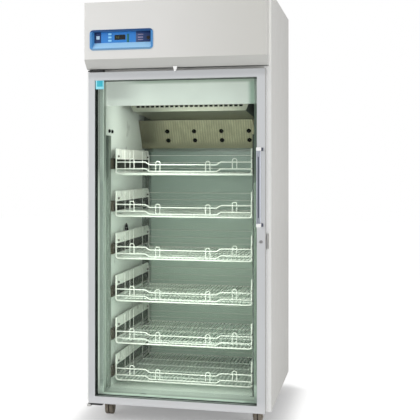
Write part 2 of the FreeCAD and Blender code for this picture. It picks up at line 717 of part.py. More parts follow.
def door_frame():
    """Four rails with solid hinge blocks, pin sockets, a lock bore and a slit for the cam."""
    bottom, top, left, right = door_rails()
    sockets = [cylinder(PIN_RADIUS + RUNNING, V(PIVOT_X, PIVOT_Y, z), Z_AXIS, PIN_LENGTH + 2)
               for z in (-1, DOOR_HEIGHT - PIN_LENGTH - 1)]
    sockets = Part.makeCompound(sockets)
    inside = HINGE_RAIL - GLASS_BITE - 2 * RAIL_WALL
    blocks = [box(-DOOR_HALF + RAIL_WALL, -DOOR_HALF + inside,
                  DOOR_FRONT + RAIL_WALL, DOOR_REAR - RAIL_WALL, z, z + HINGE_RAIL)
              for z in (RAIL_WALL, DOOR_HEIGHT - HINGE_RAIL - RAIL_WALL)]
    left = fuse([left] + blocks)
    lock = cylinder(LOCK_RADIUS + RUNNING, V(LOCK_X, DOOR_FRONT - 1, LOCK_Z), Y_AXIS,
                    RAIL_WALL + 2)
    slit = box(LOCK_X, DOOR_HALF + 1, DOOR_FRONT + CAM_DEPTH - 1,
               DOOR_FRONT + CAM_DEPTH + CAM_THICK + 1,
               LOCK_Z - CAM_LENGTH - CAM_WIDTH / 2, LOCK_Z + CAM_WIDTH)
    return group([bottom.cut(sockets), top.cut(sockets), left.cut(sockets),
                  right.cut(lock).cut(slit)])


def glass_edges():
    """Edges of the glass behind the lips of the rails."""
    sight = (-DOOR_HALF + HINGE_RAIL, DOOR_HALF - LATCH_RAIL, BOTTOM_RAIL, DOOR_HEIGHT - TOP_RAIL)
    return inward(sight, -GLASS_BITE)


def glass_panes():
    """Two panes of a deep sealed unit."""
    x0, x1, low, high = glass_edges()
    front = DOOR_FRONT + LIP
    rear = front + PANE + PANE_GAP
    return group([box(x0, x1, front, front + PANE, low, high),
                  box(x0, x1, rear, rear + PANE, low, high)])


def glass_spacer():
    """Dark edge spacer that holds the two panes apart."""
    edges = glass_edges()
    front = DOOR_FRONT + LIP + PANE
    return frame_ring(edges, inward(edges, SPACER_WIDTH), front, front + PANE_GAP)


def glazing_bead():
    """Snap-in strip that holds the glass from behind."""
    edges = glass_edges()
    front = DOOR_FRONT + LIP + 2 * PANE + PANE_GAP
    return frame_ring(edges, inward(edges, BEAD_WIDTH), front, DOOR_REAR)


def door_gasket():
    """Hollow magnetic seal on the back of the frame."""
    rear = FACE - GASKET_FREE
    outer = inward((-DOOR_HALF, DOOR_HALF, 0, DOOR_HEIGHT), GASKET_INSET)
    inner = inward(outer, GASKET_WIDTH)
    ring = frame_ring(outer, inner, DOOR_REAR, rear)
    wall = GASKET_WALL
    hollow = frame_ring(inward(outer, wall), inward(inner, -wall), DOOR_REAR + wall, rear - wall)
    return ring.cut(hollow)


def handle_bar():
    """Rounded grip bar with a shallow groove down its front."""
    low = HANDLE_BOTTOM + HANDLE_CAP
    high = HANDLE_BOTTOM + HANDLE_LENGTH - HANDLE_CAP
    half = HANDLE_WIDTH / 2
    bar = box(HANDLE_X - half, HANDLE_X + half, HANDLE_FACE, HANDLE_FACE + HANDLE_DEPTH, low, high)
    bar = rounded(bar, Z_AXIS, HANDLE_DEPTH / 3)
    groove = cylinder(HANDLE_GROOVE / 2, V(HANDLE_X, HANDLE_FACE, low - 1), Z_AXIS, high - low + 2)
    return bar.cut(groove)


def handle_posts():
    """End caps that carry the bar and reach back to the door."""
    posts = []
    half = HANDLE_WIDTH / 2
    for z in (HANDLE_BOTTOM, HANDLE_BOTTOM + HANDLE_LENGTH - HANDLE_CAP):
        cap = box(HANDLE_X - half, HANDLE_X + half, HANDLE_FACE, HANDLE_FACE + HANDLE_DEPTH,
                  z, z + HANDLE_CAP)
        cap = rounded(cap, Z_AXIS, HANDLE_DEPTH / 3)
        leg = plan_prism([(HANDLE_X - half / 2, HANDLE_FACE + HANDLE_DEPTH / 2),
                          (HANDLE_X + half, HANDLE_FACE + HANDLE_DEPTH / 2),
                          (HANDLE_X + half * 1.8, DOOR_FRONT),
                          (HANDLE_X - half / 2, DOOR_FRONT)], z, z + HANDLE_CAP)
        posts.append(fuse([cap, leg]))
    return group(posts)


def door_magnet():
    """Small lug at the head of the door that faces the header sensor."""
    low = DOOR_HEIGHT - LUG_HEIGHT / 6
    return box(LUG_SHIFT - LUG_WIDTH / 2, LUG_SHIFT + LUG_WIDTH / 2, DOOR_FRONT - LUG_THICK,
               DOOR_FRONT, low, low + LUG_HEIGHT)


def door_lock():
    """Cylinder with a flange, a keyway and a cam that turns out through the rail edge."""
    centre = V(LOCK_X, DOOR_FRONT, LOCK_Z)
    flange = cylinder(LOCK_RADIUS + 1.5, centre - Y_AXIS * LOCK_FLANGE, Y_AXIS, LOCK_FLANGE)
    body = cylinder(LOCK_RADIUS, centre, Y_AXIS, CAM_DEPTH)
    cam_y = DOOR_FRONT + CAM_DEPTH
    cam = box(LOCK_X - CAM_WIDTH / 2, LOCK_X + CAM_WIDTH / 2, cam_y, cam_y + CAM_THICK,
              LOCK_Z - CAM_LENGTH, LOCK_Z)
    hub = cylinder(LOCK_RADIUS, V(LOCK_X, cam_y, LOCK_Z), Y_AXIS, CAM_THICK)
    keyway = box(LOCK_X - 0.8, LOCK_X + 0.8, DOOR_FRONT - LOCK_FLANGE - 1, DOOR_FRONT + 3,
                 LOCK_Z - 3.5, LOCK_Z + 3.5)
    return fuse([flange, body, hub, cam]).cut(keyway)


def lock_strike():
    """Angle on the case face with a slot for the cam."""
    x0 = DOOR_HALF + STRIKE_GAP
    z0 = LOCK_Z - STRIKE_HEIGHT / 2
    cam_y = DOOR_FRONT + CAM_DEPTH
    foot = box(x0, x0 + STRIKE_FOOT, FACE - STRIKE_SHEET, FACE, z0, z0 + STRIKE_HEIGHT)
    tab = box(x0, x0 + STRIKE_SHEET, cam_y - STRIKE_LEAD, FACE, z0, z0 + STRIKE_HEIGHT)
    slot = box(x0 - 1, x0 + STRIKE_SHEET + 1, cam_y - STRIKE_PLAY,
               cam_y + CAM_THICK + STRIKE_PLAY, LOCK_Z - CAM_LENGTH * 0.8, LOCK_Z + CAM_WIDTH)
    return fuse([foot, tab]).cut(slot)


def hinge_brackets():
    """Top and bottom leaves on the case, each with its fixed pin."""
    x0 = PIVOT_X - HINGE_EDGE
    x1 = x0 + HINGE_WIDTH
    y0 = PIVOT_Y - HINGE_EDGE
    tail = FACE + HINGE_TAIL
    bottom = -HINGE_GAP - HINGE_PLATE
    grip = PIN_LENGTH - 2
    leaf = rounded(box(x0, x1, y0, tail, bottom, -HINGE_GAP), Z_AXIS, HINGE_ROUND)
    pad = box(x0, x1, tail - HINGE_PAD, tail, -HINGE_GAP, 0)
    pin = cylinder(PIN_RADIUS, V(PIVOT_X, PIVOT_Y, bottom), Z_AXIS, grip - bottom)
    low = fuse([leaf, pad, pin])
    z = DOOR_HEIGHT + HINGE_GAP
    leaf = rounded(box(x0, x1, y0, FACE, z, z + HINGE_PLATE), Z_AXIS, HINGE_ROUND)
    back = box(x0, x1, FACE - HINGE_BACK, FACE, z, BOX_HEIGHT - 1)
    pin = cylinder(PIN_RADIUS, V(PIVOT_X, PIVOT_Y, DOOR_HEIGHT - grip), Z_AXIS, grip - bottom)
    boss = cylinder(PIN_RADIUS + HINGE_BACK, V(PIVOT_X, PIVOT_Y, z), Z_AXIS, HINGE_PLATE + 4)
    high = fuse([leaf, back, pin, boss])
    return group([low, high])


# Drawers
def drawer_floor():
    """Bottom frame of heavy wire, filled with fore-and-aft wires over a few cross wires."""
    half = RIM_HALF
    y0, y1 = DRAWER_FRONT + RIM_WIRE, DRAWER_REAR - RIM_WIRE
    z = RIM_WIRE
    cut = RIM_WIRE * 1.5
    corners = [V(-half + cut, y0, z), V(half - cut, y0, z), V(half, y0 + cut, z),
               V(half, y1 - cut, z), V(half - cut, y1, z), V(-half + cut, y1, z),
               V(-half, y1 - cut, z), V(-half, y0 + cut, z)]
    pieces = [rod(corners, RIM_WIRE, closed=True)]
    pitch = 2 * half / (FLOOR_WIRES + 1)
    for i in range(FLOOR_WIRES):
        x = -half + (i + 1) * pitch
        high = z + FLOOR_WIRE
        pieces.append(rod([V(x, y0, high), V(x, y1, high)], FLOOR_WIRE, THIN_SIDES))
    step = (y1 - y0) / (CROSS_WIRES + 1)
    for i in range(CROSS_WIRES):
        y = y0 + (i + 1) * step
        low = z - FLOOR_WIRE - 0.2
        pieces.append(rod([V(-half, y, low), V(half, y, low)], FLOOR_WIRE, THIN_SIDES))
    return fuse(pieces)


def dipped_rail(y, z_end, z_middle, radius):
    """Cross rail that drops towards the middle of the drawer."""
    half = RIM_HALF
    return rod([V(-half, y, z_end), V(-DIP_START, y, z_end), V(-DIP_END, y, z_middle),
                V(DIP_END, y, z_middle), V(DIP_START, y, z_end), V(half, y, z_end)], radius)


def hoop(x, y, foot, top):
    """Inverted U of wire with its crown bent in five short runs."""
    bend = HOOP_WIDTH / 2
    points = [V(x - bend, y, foot)]
    for i in range(6):
        angle = math.pi * (1 - i / 5)
        points.append(V(x + bend * math.cos(angle), y, top - bend + bend * math.sin(angle)))
    points.append(V(x + bend, y, foot))
    return rod(points, HOOP_WIRE, THIN_SIDES)


def drawer_front():
    """Two dipped rails and four tag hoops."""
    y = DRAWER_FRONT + RIM_WIRE
    pieces = [dipped_rail(y, FRONT_HEIGHT, FRONT_HEIGHT - FRONT_DIP, FRONT_WIRE),
              dipped_rail(y, LOWER_RAIL, LOWER_RAIL - FRONT_DIP, FRONT_WIRE)]
    for x in HOOP_CENTRES:
        drop = 0 if abs(x) > DIP_END else FRONT_DIP
        pieces.append(hoop(x, y, LOWER_RAIL - drop, FRONT_HEIGHT - drop + HOOP_RISE))
    return fuse(pieces)


def drawer_rear():
    """Three cross rails on two standing wires."""
    half = RIM_HALF
    y = DRAWER_REAR - RIM_WIRE
    pieces = [rod([V(x, y, 2 * RIM_WIRE), V(x, y, REAR_TOP)], FRONT_WIRE)
              for x in (-DIP_START, DIP_START)]
    for z in (LOWER_RAIL, FRONT_HEIGHT, REAR_TOP):
        pieces.append(rod([V(-half, y, z), V(half, y, z)], FRONT_WIRE))
    return fuse(pieces)


def drawer_side():
    """Right-hand side: corner posts, and a plate with one round corner over standing wires."""
    outer = DRAWER_HALF
    inner = outer - PLATE_SHEET
    y0, y1 = DRAWER_FRONT + RIM_WIRE, DRAWER_REAR - RIM_WIRE
    low = SIDE_HEIGHT - PLATE_HEIGHT
    plate = box(inner, outer, y0, y1, low, SIDE_HEIGHT)
    corner = [edge for edge in plate.Edges if edge.BoundBox.YMin > y1 - 0.1
              and edge.BoundBox.ZMin > SIDE_HEIGHT - 0.1]
    plate = plate.makeFillet(PLATE_CORNER, corner)
    holes = [cylinder(PLATE_HOLE, V(inner - 1, y, SIDE_HEIGHT - PLATE_HOLE_DROP), X_AXIS, 3)
             for y in (DRAWER_FRONT + PLATE_HOLE_INSET, DRAWER_REAR - PLATE_HOLE_INSET)]
    plate = plate.cut(Part.makeCompound(holes))
    x = inner - HOOP_WIRE * 0.8
    wires = [rod([V(x, DRAWER_FRONT + y, 2 * RIM_WIRE), V(x, DRAWER_FRONT + y, SIDE_HEIGHT - 4)],
                 HOOP_WIRE, THIN_SIDES) for y in SIDE_WIRES]
    rail = rod([V(x, y0, LOWER_RAIL), V(x, y1, LOWER_RAIL)], HOOP_WIRE, THIN_SIDES)
    posts = [rod([V(RIM_HALF, y, RIM_WIRE), V(RIM_HALF, y, top)], RIM_WIRE)
             for y, top in ((y0, SIDE_HEIGHT), (y1, REAR_TOP + FRONT_WIRE))]
    return fuse([plate, rail] + wires + posts)


def slide_channel(x_web, x_tip, low, high, y0):
    """Channel profile with inturned lips; web and tips may face either way."""
    way = 1 if x_tip > x_web else -1
    wall, lip = SLIDE_WALL, SLIDE_LIP
    outline = [(x_web, low), (x_tip, low), (x_tip, low + lip), (x_tip - way * wall, low + lip),
               (x_tip - way * wall, low + wall), (x_web + way * wall, low + wall),
               (x_web + way * wall, high - wall), (x_tip - way * wall, high - wall),
               (x_tip - way * wall, high - lip), (x_tip, high - lip), (x_tip, high),
               (x_web, high)]
    return front_prism(outline, y0, DRAWER_REAR - SLIDE_INSET)


def inner_slide():
    """Member on the drawer, with its web against the side plate."""
    low = SLIDE_LOW + SLIDE_WALL + SLIDE_LIP + SLIDE_CLEAR
    high = SLIDE_LOW + SLIDE_HEIGHT - SLIDE_WALL - SLIDE_LIP - SLIDE_CLEAR
    tip = UPRIGHT_FACE - SLIDE_WALL - SLIDE_CLEAR
    return slide_channel(DRAWER_HALF, tip, low, high, DRAWER_FRONT + SLIDE_INSET)


def drawer():
    """One drawer with its floor at z = 0, as separate floor, walls and slides."""
    floor = drawer_floor()
    side = drawer_side().cut(floor)
    fixed = Part.makeCompound([floor, side, mirrored_x(side)])
    member = inner_slide()
    return group([floor, drawer_front().cut(fixed), drawer_rear().cut(fixed), side,
                  mirrored_x(side), member, mirrored_x(member)])


def slide_rails():
    """Fixed channels on the uprights, open towards the drawers."""
    rail = slide_channel(UPRIGHT_FACE, DRAWER_HALF + SLIDE_CLEAR + SLIDE_WALL * 2,
                         SLIDE_LOW, SLIDE_LOW + SLIDE_HEIGHT, DRAWER_FRONT - RAIL_LEAD)
    rails = []
    for z in DRAWER_FLOORS:
        for each in (rail, mirrored_x(rail)):
            placed = each.copy()
            placed.translate(V(0, 0, z))
            rails.append(placed)
    return group(rails)


def uprights():
    """Four channels on the side walls, two near the front and two near the rear."""
    first = FACE + UPRIGHT_SETBACK
    last = DRAWER_REAR - UPRIGHT_WIDTH
    pieces = []
    wall = UPRIGHT_SHEET
    for y0, top in ((first, ROOM_TOP - UPRIGHT_TOP_DROP),
                    (last, GRILLE_BOTTOM_Z - REAR_UPRIGHT_DROP)):
        y1 = y0 + UPRIGHT_WIDTH
        post = plan_prism([(ROOM_HALF, y0), (UPRIGHT_FACE, y0), (UPRIGHT_FACE, y1),
                           (ROOM_HALF, y1), (ROOM_HALF, y1 - wall),
                           (UPRIGHT_FACE + wall, y1 - wall), (UPRIGHT_FACE + wall, y0 + wall),
                           (ROOM_HALF, y0 + wall)], ROOM_FLOOR + UPRIGHT_BOTTOM_RISE, top)
        pieces += [post, mirrored_x(post)]
    return group(pieces)


# Air and light in the room
def light_fascia():
    """Upright translucent cover in front of the lamp, folded back at its head and foot."""
    y0 = FACE + FASCIA_SETBACK
    y1 = y0 + FASCIA_FOLD
    top = ROOM_TOP
    low = top - FASCIA_DROP
    t = FASCIA_SHEET
    half = ROOM_HALF
    return side_prism([(y0, low), (y1, low), (y1, low + t), (y0 + t, low + t), (y0 + t, top - t),
                       (y1, top - t), (y1, top), (y0, top)], -half, half)


def lamp():
    """Light strip under the ceiling, behind the fascia."""
    y0 = FACE + FASCIA_SETBACK + LAMP_SETBACK
    half = LAMP_LENGTH / 2
    base = box(-half, half, y0, y0 + LAMP_WIDTH, ROOM_TOP - LAMP_BASE, ROOM_TOP)
    glow = cylinder(LAMP_TUBE, V(-half, y0 + LAMP_WIDTH / 2, ROOM_TOP - LAMP_BASE - 2),
                    X_AXIS, LAMP_LENGTH)
    return fuse([base, glow])


def evaporator_housing():
    """Folded tray under the coil, with a slotted front lip cut on the slant at its ends."""
    y0, y1 = HOUSING_FRONT, HOUSING_REAR
    t = SHEET
    half = HOUSING_HALF
    top = ROOM_TOP
    floor = side_prism([(y0, HOUSING_LIP_BOTTOM), (y1, HOUSING_REAR_Z),
                        (y1, HOUSING_REAR_Z + t), (y0, HOUSING_LIP_BOTTOM + t)],
                       -half + LIP_CUT, half - LIP_CUT)
    lip = front_prism([(-half + LIP_CUT, HOUSING_LIP_BOTTOM), (half - LIP_CUT, HOUSING_LIP_BOTTOM),
                       (half, HOUSING_LIP_TOP), (-half, HOUSING_LIP_TOP)], y0, y0 + t)
    first = -LIP_SLOT_PITCH * (LIP_SLOTS - 1) / 2
    row = slots([first + LIP_SLOT_PITCH * i for i in range(LIP_SLOTS)],
                HOUSING_LIP_TOP - LIP_SLOT_HEIGHT, LIP_SLOT_WIDTH, LIP_SLOT_HEIGHT,
                y0 - 1, y0 + t + 1)
    lip = lip.cut(Part.makeCompound(row))
    inner = half - LIP_CUT
    wall = side_prism([(y0, HOUSING_LIP_BOTTOM), (y1, HOUSING_REAR_Z), (y1, top),
                       (y0 + HOUSING_CHEEK, top), (y0, HOUSING_LIP_TOP)], inner - t, inner)
    return fuse([floor, lip, wall, mirrored_x(wall)])


def finned_coil(size, corner, fins, rows, radius, hang=0.0):
    """Fins on a flat core, with return bends at both ends and end plates that may hang it."""
    width, depth, height = size
    x0, y0, z0 = corner
    y_mid = y0 + depth / 2
    pieces = [box(x0, x0 + width, y_mid - radius, y_mid + radius, z0, z0 + height)]
    step = (width - FIN) / (fins - 1)
    for i in range(fins):
        x = x0 + i * step
        top = z0 + height + (hang if i in (0, fins - 1) else 0.0)
        pieces.append(box(x, x + FIN, y0, y0 + depth, z0, top))
    rise = height / rows
    for row in range(rows - 1):
        z = z0 + (row + 0.5) * rise
        x, out = (x0, -1) if row % 2 else (x0 + width, 1)
        points = [V(x, y_mid, z), V(x + out * rise / 3, y_mid, z),
                  V(x + out * rise / 2, y_mid, z + rise / 4),
                  V(x + out * rise / 2, y_mid, z + rise * 3 / 4),
                  V(x + out * rise / 3, y_mid, z + rise), V(x, y_mid, z + rise)]
        pieces.append(rod(points, radius))
    return fuse(pieces)


def evaporator_coil():
    y0 = HOUSING_FRONT + COIL_SETBACK
    low = HOUSING_LIP_BOTTOM + COIL_RAISE
    width = 2 * (HOUSING_HALF - LIP_CUT) - 2 * COIL_MARGIN
    depth = EVAP_FAN_Y - COIL_FAN_GAP - y0
    return finned_coil((width, depth, ROOM_TOP - COIL_HANG - low), (-width / 2, y0, low),
                       COIL_FINS, 4, COIL_TUBE, COIL_HANG)


def fan_rotor(radius, thick):
    """Five pitched blades on a hub, turning about Y through the origin."""
    hub = cylinder(radius * 0.32, V(0, -thick / 2, 0), Y_AXIS, thick)
    blades = []
    for i in range(5):
        blade = box(0, radius * 1.1, -thick * 0.04, thick * 0.04, -radius * 0.27, radius * 0.27)
        blade.rotate(V(0, 0, 0), X_AXIS, 35)
        blade.rotate(V(0, 0, 0), Y_AXIS, 72 * i)
        blades.append(blade)
    reach = cylinder(radius, V(0, -thick, 0), Y_AXIS, 2 * thick)
    vanes = fuse(blades).common(reach)
    bore = cylinder(FAN_SHAFT + RUNNING, V(0, -thick, 0), Y_AXIS, 2 * thick)
    return fuse([hub, vanes]).cut(bore)


def fan_frame(radius, half, low, high, y, centre, arm_depth):
    """Sheet with a round opening, and a motor with its shaft on three arms behind it."""
    x, z = centre
    sheet = box(x - half, x + half, y, y + SHEET, low, high)
    sheet = sheet.cut(cylinder(radius + FAN_RIM, V(x, y - 1, z), Y_AXIS, SHEET + 2))
    motor = cylinder(radius * 0.36, V(x, y + arm_depth, z), Y_AXIS, MOTOR_DEPTH)
    shaft = cylinder(FAN_SHAFT, V(x, y - FAN_RIM * 2, z), Y_AXIS, arm_depth + FAN_RIM * 2 + 2)
    arms = []
    half_arm = FAN_ARM / 2
    far = radius + FAN_RIM * 3
    for i in range(3):
        arm = box(radius * 0.30, far, y, y + SHEET * 2, -half_arm, half_arm)
        arm.translate(V(0, arm_depth, 0))
        post = box(radius + FAN_RIM * 1.5, far, y, y + arm_depth + SHEET, -half_arm, half_arm)
        spoke = fuse([arm, post])
        spoke.rotate(V(0, 0, 0), Y_AXIS, 120 * i + 30)
        spoke.translate(V(x, 0, z))
        arms.append(spoke)
    return fuse([sheet, motor, shaft] + arms)


def fan_bulkhead():
    """Partition behind the coil that carries the air fan."""
    low = HOUSING_REAR_Z + BULKHEAD_RAISE
    inner = HOUSING_HALF - LIP_CUT - SHEET
    return fan_frame(EVAP_FAN_RADIUS, inner, low, ROOM_TOP, EVAP_FAN_Y, (0, EVAP_FAN_Z),
                     EVAP_FAN_ARM)


def evaporator_fan():
    rotor = fan_rotor(EVAP_FAN_RADIUS, EVAP_FAN_THICK)
    rotor.translate(V(0, EVAP_FAN_Y, EVAP_FAN_Z))
    return rotor


def perforated_panel():
    """Sloping panel with two rows of air holes, stepped back into tapered wings at the walls."""
    top = V(0, ROOM_REAR - GRILLE_TOP_INSET, GRILLE_TOP_Z)
    foot = V(0, ROOM_REAR - GRILLE_BOTTOM_INSET, GRILLE_BOTTOM_Z)
    down = foot - top
    sheet = grille_sheet(down.Length)
    holes = []
    for drop in GRILLE_ROWS:
        for i in range(4):
            x = (i - 1.5) * GRILLE_HOLE_PITCH + GRILLE_HOLE_SHIFT
            holes.append(cylinder(GRILLE_HOLE, V(x, -1, -drop), Y_AXIS, SHEET + 2))
    sheet = sheet.cut(Part.makeCompound(holes))
    tilt = math.degrees(math.atan2(down.y, -down.z))
    sheet.rotate(V(0, 0, 0), X_AXIS, tilt)
    sheet.translate(top)
    spare = 2 * GRILLE_FOLD
    span = (-ROOM_HALF - 1, ROOM_HALF + 1, top.y - spare, foot.y + 2 * spare)
    sheet = sheet.cut(box(*span, GRILLE_TOP_Z, GRILLE_TOP_Z + spare))
    return sheet.cut(box(*span, GRILLE_BOTTOM_Z - spare, GRILLE_BOTTOM_Z))


def grille_sheet(length):
    """The folded sheet lying upright, longer than needed at both ends."""
    t, fold, wall = SHEET, GRILLE_FOLD, ROOM_HALF
    high, low = fold, -length - fold
    slant = (GRILLE_TOP_WING - GRILLE_FOOT_WING) / length
    at_top = wall - GRILLE_TOP_WING - slant * fold
    at_foot = wall - GRILLE_FOOT_WING + slant * fold
    middle = front_prism([(-at_top, high), (at_top, high), (at_foot, low), (-at_foot, low)], 0, t)
    step = front_prism([(at_top - t, high), (at_top, high), (at_foot, low), (at_foot - t, low)],
                       0, fold + t)
    wing = front_prism([(at_top - t, high), (wall, high), (wall, low), (at_foot - t, low)],
                       fold, fold + t)
    return fuse([middle, step, wing, mirrored_x(step), mirrored_x(wing)])


def rear_duct():
    """Shallow channel down the rear wall that spreads the cold air."""
    y1 = ROOM_REAR
    y0 = y1 - DUCT_DEPTH
    t = SHEET
    h, b = DUCT_HALF, DUCT_BEVEL
    duct = plan_prism([(-h - b, y1), (-h, y0), (h, y0), (h + b, y1), (h + b - 2 * t, y1),
                       (h - t, y0 + t), (-h + t, y0 + t), (-h - b + 2 * t, y1)],
                      ROOM_FLOOR + DUCT_FOOT, GRILLE_BOTTOM_Z - DUCT_HEAD)
    return duct


def port_plug_body():
    start = V(-ROOM_HALF + PLUG_PROUD, FACE + PLUG_SETBACK, PLUG_Z)
    return cylinder(PLUG_RADIUS, start, V(-1, 0, 0), PLUG_PROUD + LINER + PLUG_DEEP)


def port_plug():
    """Rubber stopper in the wall port, with a drooping sensor bulb."""
    x = -ROOM_HALF + PLUG_PROUD / 2
    bulb = Part.makeCone(PLUG_PROUD / 2 - 1, PLUG_PROUD / 4, PLUG_BULB,
                         V(x, FACE + PLUG_SETBACK, PLUG_Z), V(0, 0, -1))
    return fuse([port_plug_body(), bulb])


# Machine bay
def compressor():
    """Welded steel pot on a foot plate."""
    r, h = COMPRESSOR_RADIUS, COMPRESSOR_HEIGHT
    crown = h * 0.15
    pot = [Part.makeCone(r * 0.8, r, crown, V(0, 0, POT_LIFT), Z_AXIS),
           cylinder(r, V(0, 0, POT_LIFT + crown), Z_AXIS, h - 2 * crown),
           Part.makeCone(r, r * 0.8, crown, V(0, 0, POT_LIFT + h - crown), Z_AXIS)]
    seam = cylinder(r * 1.04, V(0, 0, POT_LIFT + h * 0.5), Z_AXIS, h * 0.03)
    foot = box(-r * 1.1, r * 1.1, -r * 0.8, r * 0.8, POT_LIFT - 4, POT_LIFT + 2)
    foot = rounded(foot, Z_AXIS, POT_FOOT)
    feet = [cylinder(POT_FOOT, V(x * r * 0.9, y * r * 0.6, 0), Z_AXIS, POT_LIFT)
            for x in (-1, 1) for y in (-1, 1)]
    whole = fuse(pot + [seam, foot] + feet)
    whole.translate(V(COMPRESSOR_X, REAR - COMPRESSOR_INSET, BOX_HEIGHT))
    return whole


def condenser():
    y0 = FACE + CONDENSER_SETBACK
    corner = (CONDENSER_X - CONDENSER_WIDTH / 2, y0, BOX_HEIGHT)
    return finned_coil((CONDENSER_WIDTH, CONDENSER_DEPTH, CONDENSER_HEIGHT), corner,
                       COIL_FINS, 6, COIL_TUBE)


def condenser_shroud():
    """Fan plate behind the condenser."""
    return fan_frame(COND_FAN_RADIUS, CONDENSER_WIDTH / 2, BOX_HEIGHT,
                     BOX_HEIGHT + CONDENSER_HEIGHT, CONDENSER_REAR + COND_FAN_GAP,
                     condenser_fan_centre(), COND_FAN_ARM)


def condenser_fan_centre():
    return (CONDENSER_X, BOX_HEIGHT + CONDENSER_HEIGHT / 2)


def condenser_fan():
    rotor = fan_rotor(COND_FAN_RADIUS, COND_FAN_THICK)
    x, z = condenser_fan_centre()
    rotor.translate(V(x, CONDENSER_REAR + COND_FAN_GAP, z))
    return rotor


# Casters
def caster_places():
    """Front left, front right, rear left, rear right kingpins."""
    return [(-CASTER_X, CASTER_FRONT), (CASTER_X, CASTER_FRONT),
            (-CASTER_X, CASTER_REAR), (CASTER_X, CASTER_REAR)]


def caster_plates():
    """Mounting plates under the pan, each with its swivel cup and kingpin."""
    plates = []
    half = CASTER_PLATE_SIZE / 2
    for x, y in caster_places():
        plate = rounded(box(x - half, x + half, y - half, y + half, -CASTER_PLATE, 0), Z_AXIS, 6)
        cup = Part.makeCone(SWIVEL_RADIUS * 0.75, SWIVEL_RADIUS, 5,
                            V(x, y, -CASTER_PLATE - 5), Z_AXIS)
        low = -CASTER_PLATE - SWIVEL_DROP
        pin = cylinder(KINGPIN_RADIUS, V(x, y, low), Z_AXIS, SWIVEL_DROP)
        head = cylinder(KINGPIN_RADIUS + 3, V(x, y, low), Z_AXIS, 3.5)
        plates.append(fuse([plate, cup, pin, head]))
    return group(plates)


def fork(braked):
    """Pressed fork: a crown on the kingpin and two legs that trail down to the axle."""
    inside = WHEEL_WIDTH / 2 + FORK_CLEAR
    outside = inside + FORK_SHEET
    axle_z = WHEEL_RADIUS - FLOOR_GAP
    crown_top = -CASTER_PLATE - 5.5
    crown = rounded(box(-outside, outside, -SWIVEL_RADIUS, SWIVEL_RADIUS,
                        crown_top - FORK_SHEET, crown_top), Z_AXIS, 6)
    hole = cylinder(KINGPIN_RADIUS + RUNNING, V(0, 0, crown_top - 12), Z_AXIS, 14)
    leg = side_prism([(-SWIVEL_RADIUS, crown_top), (SWIVEL_RADIUS * 0.9, crown_top),
                      (WHEEL_TRAIL + 10, axle_z), (WHEEL_TRAIL + 6, axle_z - 8),
                      (WHEEL_TRAIL - 6, axle_z - 8), (WHEEL_TRAIL - 12, axle_z)],
                     inside, outside)
    axle = cylinder(AXLE_RADIUS, V(-outside - 2, WHEEL_TRAIL, axle_z), X_AXIS, 2 * outside + 4)
    y, z = brake_pivot()
    brake_hole = cylinder(BRAKE_PIN + RUNNING, V(-outside - 1, y, z), X_AXIS, 2 * outside + 2)
    body = fuse([crown.cut(hole), leg, mirrored_x(leg), axle])
    return body.cut(brake_hole) if braked else body


def wheel():
    """Grooved tread on a hub, turning on the axle."""
    half = WHEEL_WIDTH / 2
    axle_z = WHEEL_RADIUS - FLOOR_GAP
    r = WHEEL_RADIUS
    g = WHEEL_GROOVE
    outline = [V(-half - 1.5, 0, AXLE_RADIUS + RUNNING), V(half + 1.5, 0, AXLE_RADIUS + RUNNING),
               V(half + 1.5, 0, HUB_RADIUS), V(half, 0, r * 0.9), V(half * 0.75, 0, r),
               V(g, 0, r), V(g, 0, r - g), V(-g, 0, r - g), V(-g, 0, r),
               V(-half * 0.75, 0, r), V(-half, 0, r * 0.9), V(-half - 1.5, 0, HUB_RADIUS)]
    disc = Part.Face(Part.makePolygon(outline + [outline[0]])).revolve(V(0, 0, 0), X_AXIS, 360)
    disc.translate(V(0, WHEEL_TRAIL, axle_z))
    return disc


def brake_lever():
    """Foot pedal on a cross pin, with a shoe that swings onto the tread."""
    wide = WHEEL_WIDTH / 2 + FORK_CLEAR - 0.6
    outside = wide + FORK_SHEET + 0.6
    y, z = brake_pivot()
    pin = cylinder(BRAKE_PIN, V(-outside, y, z), X_AXIS, 2 * outside)
    hub = cylinder(BRAKE_PIN + 1.5, V(-wide, y, z), X_AXIS, 2 * wide)
    pedal = side_prism([(y, z + 1.5), (y, z - 1.5), (y - 20, z - 5), (y - 27, z - 5),
                        (y - 27, z - 2), (y - 20, z - 2)], -wide, wide)
    half = WHEEL_WIDTH / 2 - 3
    shoe = side_prism([(y - 2, z), (y + 2, z), (y + 3.5, z - 12), (y + 0.5, z - 12.5)],
                      -half, half)
    return fuse([pin, hub, pedal, shoe])


def brake_pivot():
    """Pivot of the brake lever, (y, z) from the kingpin."""
    return -SWIVEL_RADIUS + 12.0, -CASTER_PLATE - 18.0


def caster_part(shape, index):
    placed = shape.copy()
    x, y = caster_places()[index]
    placed.translate(V(x, y, 0))
    return placed


